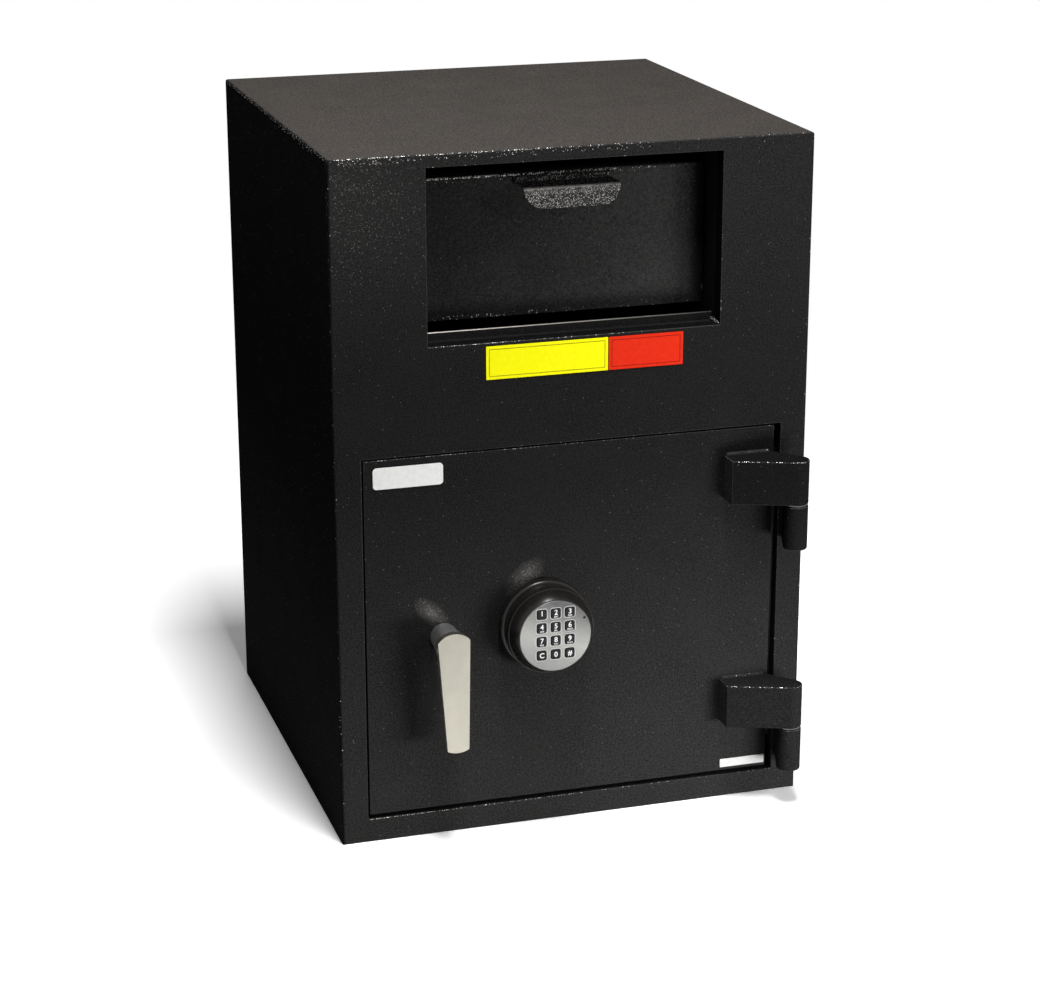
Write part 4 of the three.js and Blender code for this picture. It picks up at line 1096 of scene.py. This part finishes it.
def lever_handle():
    face = front - handle_reach + face_room
    back = front - hub_standoff
    blade = temporary(prism(lever_outline(), "y", face, back))
    foot = -blade_length - overrun
    side = [(face - overrun, head_rise + overrun), (face - overrun, foot)]
    steps = 48
    for k in range(steps + 1):
        z = foot + (blade_length - hub_radius + overrun) * k / steps
        side.append((face + lever_depth(z), z))
    side += [(face + handle_reach / 2, 0), (face + blade_thickness, 0)]
    side.append((face + blade_thickness, head_rise + overrun))
    combined(blade, "INTERSECT", prism(side, "x", -head_width, head_width))
    groove = back - hub_groove_from_door
    profile = [
        (hub_front_radius, face + blade_tip_thickness),
        (hub_front_radius - hub_front_taper, face + hub_taper_share * handle_reach),
        (hub_radius + hub_waist_room, face + hub_waist_share * handle_reach),
        (hub_radius, groove - hub_groove_width),
        (hub_radius - hub_groove_depth, groove - hub_groove_width),
        (hub_radius - hub_groove_depth, groove),
        (hub_radius, groove),
        (hub_radius, back),
    ]
    combined(blade, "UNION", turned(profile, "y", 0, 0, 72, closed=False))
    lean = Matrix.Rotation(-blade_lean, 4, "Y")
    blade.data.transform(Matrix.Translation((lever_x, 0, lever_z)) @ lean)
    finished(blade, "lever_form", nickel)
    for polygon in blade.data.polygons:
        polygon.use_smooth = polygon.normal.y > -0.999
    # The rim takes the paler nickel: a painted highlight
    bevelled(blade, blade_edge, 3, angle=40, edge_material=nickel_rim_painted_highlight)

    def on_hub(polygon):
        away = hypot(polygon.center.x - lever_x, polygon.center.z - lever_z)
        behind = polygon.center.y > front - handle_reach + blade_thickness + overrun
        return behind and away < hub_front_radius + overrun

    # The hub takes the metal with the painted shade and light
    repaint(blade, hub_nickel, on_hub)
    install(blade, "handle", "nickel", "lever_handle")


lever_handle()


# Keypad
def disc_of(node):
    """The radius of a round node and how far it stands out from the door."""
    low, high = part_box(node)
    return (high[0] - low[0]) / 2, front - low[1]


def keypad_ring(node, profile):
    """A black ring turned about the keypad's axis; levels count forward from the door."""
    places = [(radius, front - ahead) for radius, ahead in profile]
    ring = turned(places, "y", keypad_x, keypad_z, 128)
    install(new_piece(node + "_form", ring, black_plastic, 35), "door", "black", node)


def keypad_base():
    radius, ahead = disc_of("keypad_base")
    profile = [(ring_bore, ring_room), (radius - base_foot_edge, ring_room)]
    profile.append((radius, ring_room + base_foot_edge))
    middle = (radius - base_shoulder, ahead - base_shoulder)
    profile += arc(*middle, base_shoulder, 0, pi / 2, 6)
    keypad_ring("keypad_base", profile + [(ring_bore, ahead)])


def keypad_housing():
    base_ahead = disc_of("keypad_base")[1]
    radius, ahead = disc_of("keypad_housing")
    plate_radius = disc_of("keypad_faceplate")[0]
    profile = [(radius - housing_wall, base_ahead + ring_room)]
    profile += [(radius - inward, base_ahead + forward) for inward, forward in housing_foot]
    shoulder = ahead - dome_depth
    small = dome_chamfer_share * dome_chamfer
    dome = [(radius, shoulder - dome_chamfer), (radius - small, shoulder - small)]
    dome.append((radius - dome_chamfer, shoulder))
    pull = (radius - dome_lean, ahead - dome_fall)
    profile += dome + bowed(dome[-1], pull, (plate_radius + dome_rim, ahead), 14)
    profile += [(plate_radius + outward, ahead - back) for outward, back in housing_rim]
    profile.append((radius - housing_wall, ahead - housing_cavity))
    keypad_ring("keypad_housing", profile)


def key_place(column, row):
    """The middle of a key."""
    x = keypad_x + (column - 1) * key_pitch_x
    z = keypad_z + keys_above_centre + (1.5 - row) * key_pitch_z
    return x, z


def key_square(column, row, room, corner):
    """A round-cornered square about a key, wider than it by some room."""
    side = key_size + room
    return rounded_box(*key_place(column, row), side, side, corner)


def keypad_plate():
    """The silver faceplate, with a hole for each key."""
    radius = disc_of("keypad_faceplate")[0]
    face, rear_face = plate_low[1], plate_high[1]
    disc = [(radius - faceplate_edge, face), (radius, face + faceplate_edge), (radius, rear_face)]
    plate = temporary(turned(disc, "y", keypad_x, keypad_z, 128, closed=False))
    for row, column in product(range(4), range(3)):
        hole = key_square(column, row, key_hole_room, key_hole_corner)
        combined(plate, "DIFFERENCE", prism(hole, "y", face - overrun, rear_face + overrun))
    finished(plate, "keypad_faceplate_form", silver)
    plate.data.set_sharp_from_angle(angle=radians(30))
    install(plate, "door", "silver", "keypad_faceplate")


keypad_base()
keypad_housing()
keypad_plate()
dressed("keymat", "door", "rubber", rubber)


def symbol_mesh(text, size):
    """A key's symbol as a thin mesh that faces forward."""
    curve = bpy.data.curves.new("symbol", "FONT")
    curve.body = text
    curve.size = size
    curve.align_x = "CENTER"
    curve.align_y = "CENTER"
    curve.offset = symbol_bold_share * size
    curve.extrude = print_thickness / 2
    curve.resolution_u = 4
    holder = placed("symbol", curve)
    mesh = baked(holder)
    bpy.data.objects.remove(holder)
    bpy.data.curves.remove(curve)
    mesh.transform(Matrix.Rotation(pi / 2, 4, "X"))
    return mesh


def keypad_key(text, column, row):
    node = key_names.get(text, "key_" + text)
    low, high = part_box(node)
    x, z = key_place(column, row)
    key_front = low[1] + print_thickness
    skirt_front = high[1] - key_skirt
    cap = key_square(column, row, 0, key_corner)
    skirt = rounded_box(x, z, high[0] - low[0], high[2] - low[2], key_corner)
    crown = key_square(column, row, -key_crown_inset, key_crown_corner)
    levels = [(skirt, high[1]), (skirt, skirt_front), (cap, skirt_front)]
    levels += [(cap, key_front + key_crown_rise), (crown, key_front)]
    body = skin([[(a, y, b) for a, b in outline] for outline, y in levels])
    piece = new_piece(node + "_form", body, key_plastic)
    bevelled(piece, key_edge, 3, angle=25)
    install(piece, node, "keycap", node)

    prints = [("_symbol", text, symbol_size, digit_rise if text in "123456789" else 0)]
    if text in key_letters:
        prints.append(("_letters", key_letters[text], letter_size, -letter_drop))
    for ending, print_text, size, rise in prints:
        mesh = symbol_mesh(print_text, size)
        mesh.transform(Matrix.Translation((x, key_front - print_thickness / 2, z + rise)))
        mesh.materials.append(white_ink)
        install(placed(node + ending, mesh), node, "white")

    inner = key_square(column, row, outline_room, outline_corner)
    around = outline_room + 2 * key_outline
    outer = key_square(column, row, around, outline_corner + key_outline)
    border = ring_between(outer, inner, "y", plate_low[1] - print_thickness, plate_low[1])
    install(new_piece(node + "_outline", border, outline_ink, 30), "door", "white")


for row, line in enumerate(key_rows):
    for column, text in enumerate(line):
        keypad_key(text, column, row)


def keypad_lamp():
    dome = [(lamp_radius, plate_low[1])]
    for t in (0.3 * k for k in range(1, 6)):
        dome.append((lamp_radius * cos(t), plate_low[1] - lamp_rise * sin(t)))
    lamp = turned(dome, "y", keypad_x + lamp_right, keypad_z + lamp_above, 24, closed=False)
    install(new_piece("keypad_lamp", lamp, key_plastic), "door", "black")


keypad_lamp()

# Hopper
dressed(
    "hopper_front", "hopper", "paint", drawer_paint, sheet_edge, 4, drawer_edge_paint, drawer_bend
)
dressed("hopper_bucket", "hopper", "paint", paint, sheet_edge)


def hopper_pull():
    """The pull: a flange, a web that comes out and a lip bent down, with round lower corners."""
    low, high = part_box("hopper_pull")
    root = high[1]
    top = high[2] - pull_drop
    web = high[2] - pull_flange
    nose = low[1] + pull_tilt / 2
    bottom = low[2]
    lip_angle = atan2(pull_tilt, web - pull_bend - bottom)
    centre = (nose + pull_bend, web - pull_bend)
    outer = [(root, top), (root - pull_sheet, top), (root - pull_sheet, web)]
    outer += arc(*centre, pull_bend, pi / 2, pi + lip_angle, 12)
    outer += [(nose - pull_tilt, bottom), (nose - pull_tilt + pull_sheet, bottom)]
    outer += arc(*centre, pull_bend - pull_sheet, pi + lip_angle, pi / 2, 8)
    outer.append((root, web - pull_sheet))
    pull = temporary(prism(outer, "x", low[0], high[0]))
    half = high[0]
    shape = [(half, top + overrun), (-half, top + overrun)]
    for side, start in ((-1, pi), (1, 1.5 * pi)):
        x = side * (half - pull_corner)
        shape += arc(x, bottom + pull_corner, pull_corner, start, start + pi / 2, 16)
    combined(pull, "INTERSECT", prism(shape, "y", nose - 2 * pull_tilt, root + overrun))
    finished(pull, "hopper_pull_form", pull_paint_with_painted_light)
    bevelled(pull, pull_edge, 3, angle=35)
    install(pull, "hopper", "paint", "hopper_pull")


hopper_pull()


# Stickers and plates, two with a border line
def sticker(node, body, slot, material, corner, ink=None):
    low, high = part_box(node)
    x, _, z = centre_of(node)

    def outline(inset, corner):
        return rounded_box(x, z, high[0] - low[0] - inset, high[2] - low[2] - inset, corner)

    piece = new_piece(node + "_form", prism(outline(0, corner), "y", low[1], high[1]), material)
    bevelled(piece, sticker_edge, 2)
    install(piece, body, slot, node)
    if ink is None:
        return
    outer = outline(2 * border_inset, corner)
    inner = outline(2 * (border_inset + border_line), corner / 2)
    band = ring_between(outer, inner, "y", low[1] - print_thickness, low[1])
    install(new_piece(node + "_border", band, ink, 30), body, slot)


sticker("yellow_label", "cabinet", "yellow", yellow, sticker_corner, olive_ink)
sticker("red_label", "cabinet", "red", red, sticker_corner, red_ink)
sticker("name_plate", "door", "white", white, name_plate_corner)
sticker("serial_label", "door", "white", white, sticker_corner)

# Weld at the right end of the deposit sill
path = [(opening_half - a, front + b, opening_bottom + c) for a, b, c in sill_weld_places]
weld = bead("sill_weld", path, sill_weld, chipped_paint, sill_weld_ripple_share, sill_weld_pitch)
install(weld, "cabinet", "steel")


# Studio
def look_at(holder, place, aim, roll=0.0):
    direction = (Vector(aim) - Vector(place)).normalized()
    turn = direction.to_track_quat("-Z", "Y").to_matrix().to_4x4()
    holder.matrix_world = Matrix.Translation(place) @ turn @ Matrix.Rotation(roll, 4, "Z")


camera_data = bpy.data.cameras.new("camera")
camera_data.sensor_fit = "HORIZONTAL"
camera_data.sensor_width = camera_sensor
camera_data.lens = camera_lens
camera = placed("camera", camera_data)
bpy.context.scene.camera = camera
across = cos(camera_elevation)
back = Vector((sin(camera_azimuth) * across, -cos(camera_azimuth) * across, 0))
back.z = sin(camera_elevation)
look_at(camera, camera_target + back * camera_distance, camera_target, camera_roll)


def soft_box(name, place, aim, width, tall, level, reflected):
    """A lamp whose energy makes a white card at its aim, turned to it, as bright as level."""
    data = bpy.data.lights.new(name, "AREA")
    data.shape = "RECTANGLE"
    data.size = width
    data.size_y = tall
    distance = (Vector(aim) - Vector(place)).length
    data.energy = level * pi**2 * distance**2
    lamp = placed(name, data)
    look_at(lamp, place, aim)
    lamp.visible_camera = False
    lamp.visible_glossy = reflected


# Lamps: name, place, aim, width, height, brightness and whether reflections show them
lamps = (
    ("overhead", (-0.05, -0.8, 3.0), (0, 0, height / 2), 0.5, 1.1, 1.1, True),
    ("front_right", (0.5, -1.0, 0.1), (0.15, front, 0.12), 0.4, 0.2, 1.08, False),
    ("upper_right", (0.95, -1.2, 1.05), (0.15, front, 0.62), 0.4, 0.4, 0.28, False),
    ("behind", (0.35, 2.2, 0.3), (0, rear, 0.3), 1.1, 0.5, 0.3, False),
)
for lamp in lamps:
    soft_box(*lamp)

floor_reach = 30
floor_shade = 1.7
scattered_shade = 0.35
shadow_ground = (0.5, 1.6)
world_light = 0.07


def stage_material():
    """A white ground for the camera and for reflections that still takes the object's shadow."""
    made = bpy.data.materials.new("studio_floor")
    made.use_nodes = True
    made.node_tree.nodes.clear()
    ground = Wiring(made.node_tree)
    pale = ground.add("BsdfDiffuse", {"Color": (floor_shade,) * 3}).outputs[0]
    dull = ground.add("BsdfDiffuse", {"Color": (scattered_shade,) * 3}).outputs[0]
    glow = ground.add("Emission").outputs[0]
    reach = ground.add("VectorMath", {0: ground.place}, "LENGTH").outputs["Value"]
    far = ground.between(reach, *shadow_ground, 0.1, 1, smooth=True)
    seen = ground.mixed(far, pale, glow)
    shown = ground.mixed(ground.plain_sight(), dull, seen)
    ground.add("OutputMaterial", {"Surface": shown})
    return made


corners = [(x * floor_reach, y * floor_reach, 0) for x, y in ((-1, -1), (1, -1), (1, 1), (-1, 1))]
ground = bmesh.new()
ground.faces.new([ground.verts.new(corner) for corner in corners])
new_piece("studio_floor", ground, stage_material())

world = bpy.data.worlds.new("studio")
bpy.context.scene.world = world
world.use_nodes = True
sky = Wiring(world.node_tree)
background = world.node_tree.nodes["Background"]
sky.feed(background.inputs["Color"], (1, 1, 1))
sky.feed(background.inputs["Strength"], sky.between(sky.plain_sight(), 0, 1, world_light, 1))

bpy.context.scene.view_settings.view_transform = "Standard"
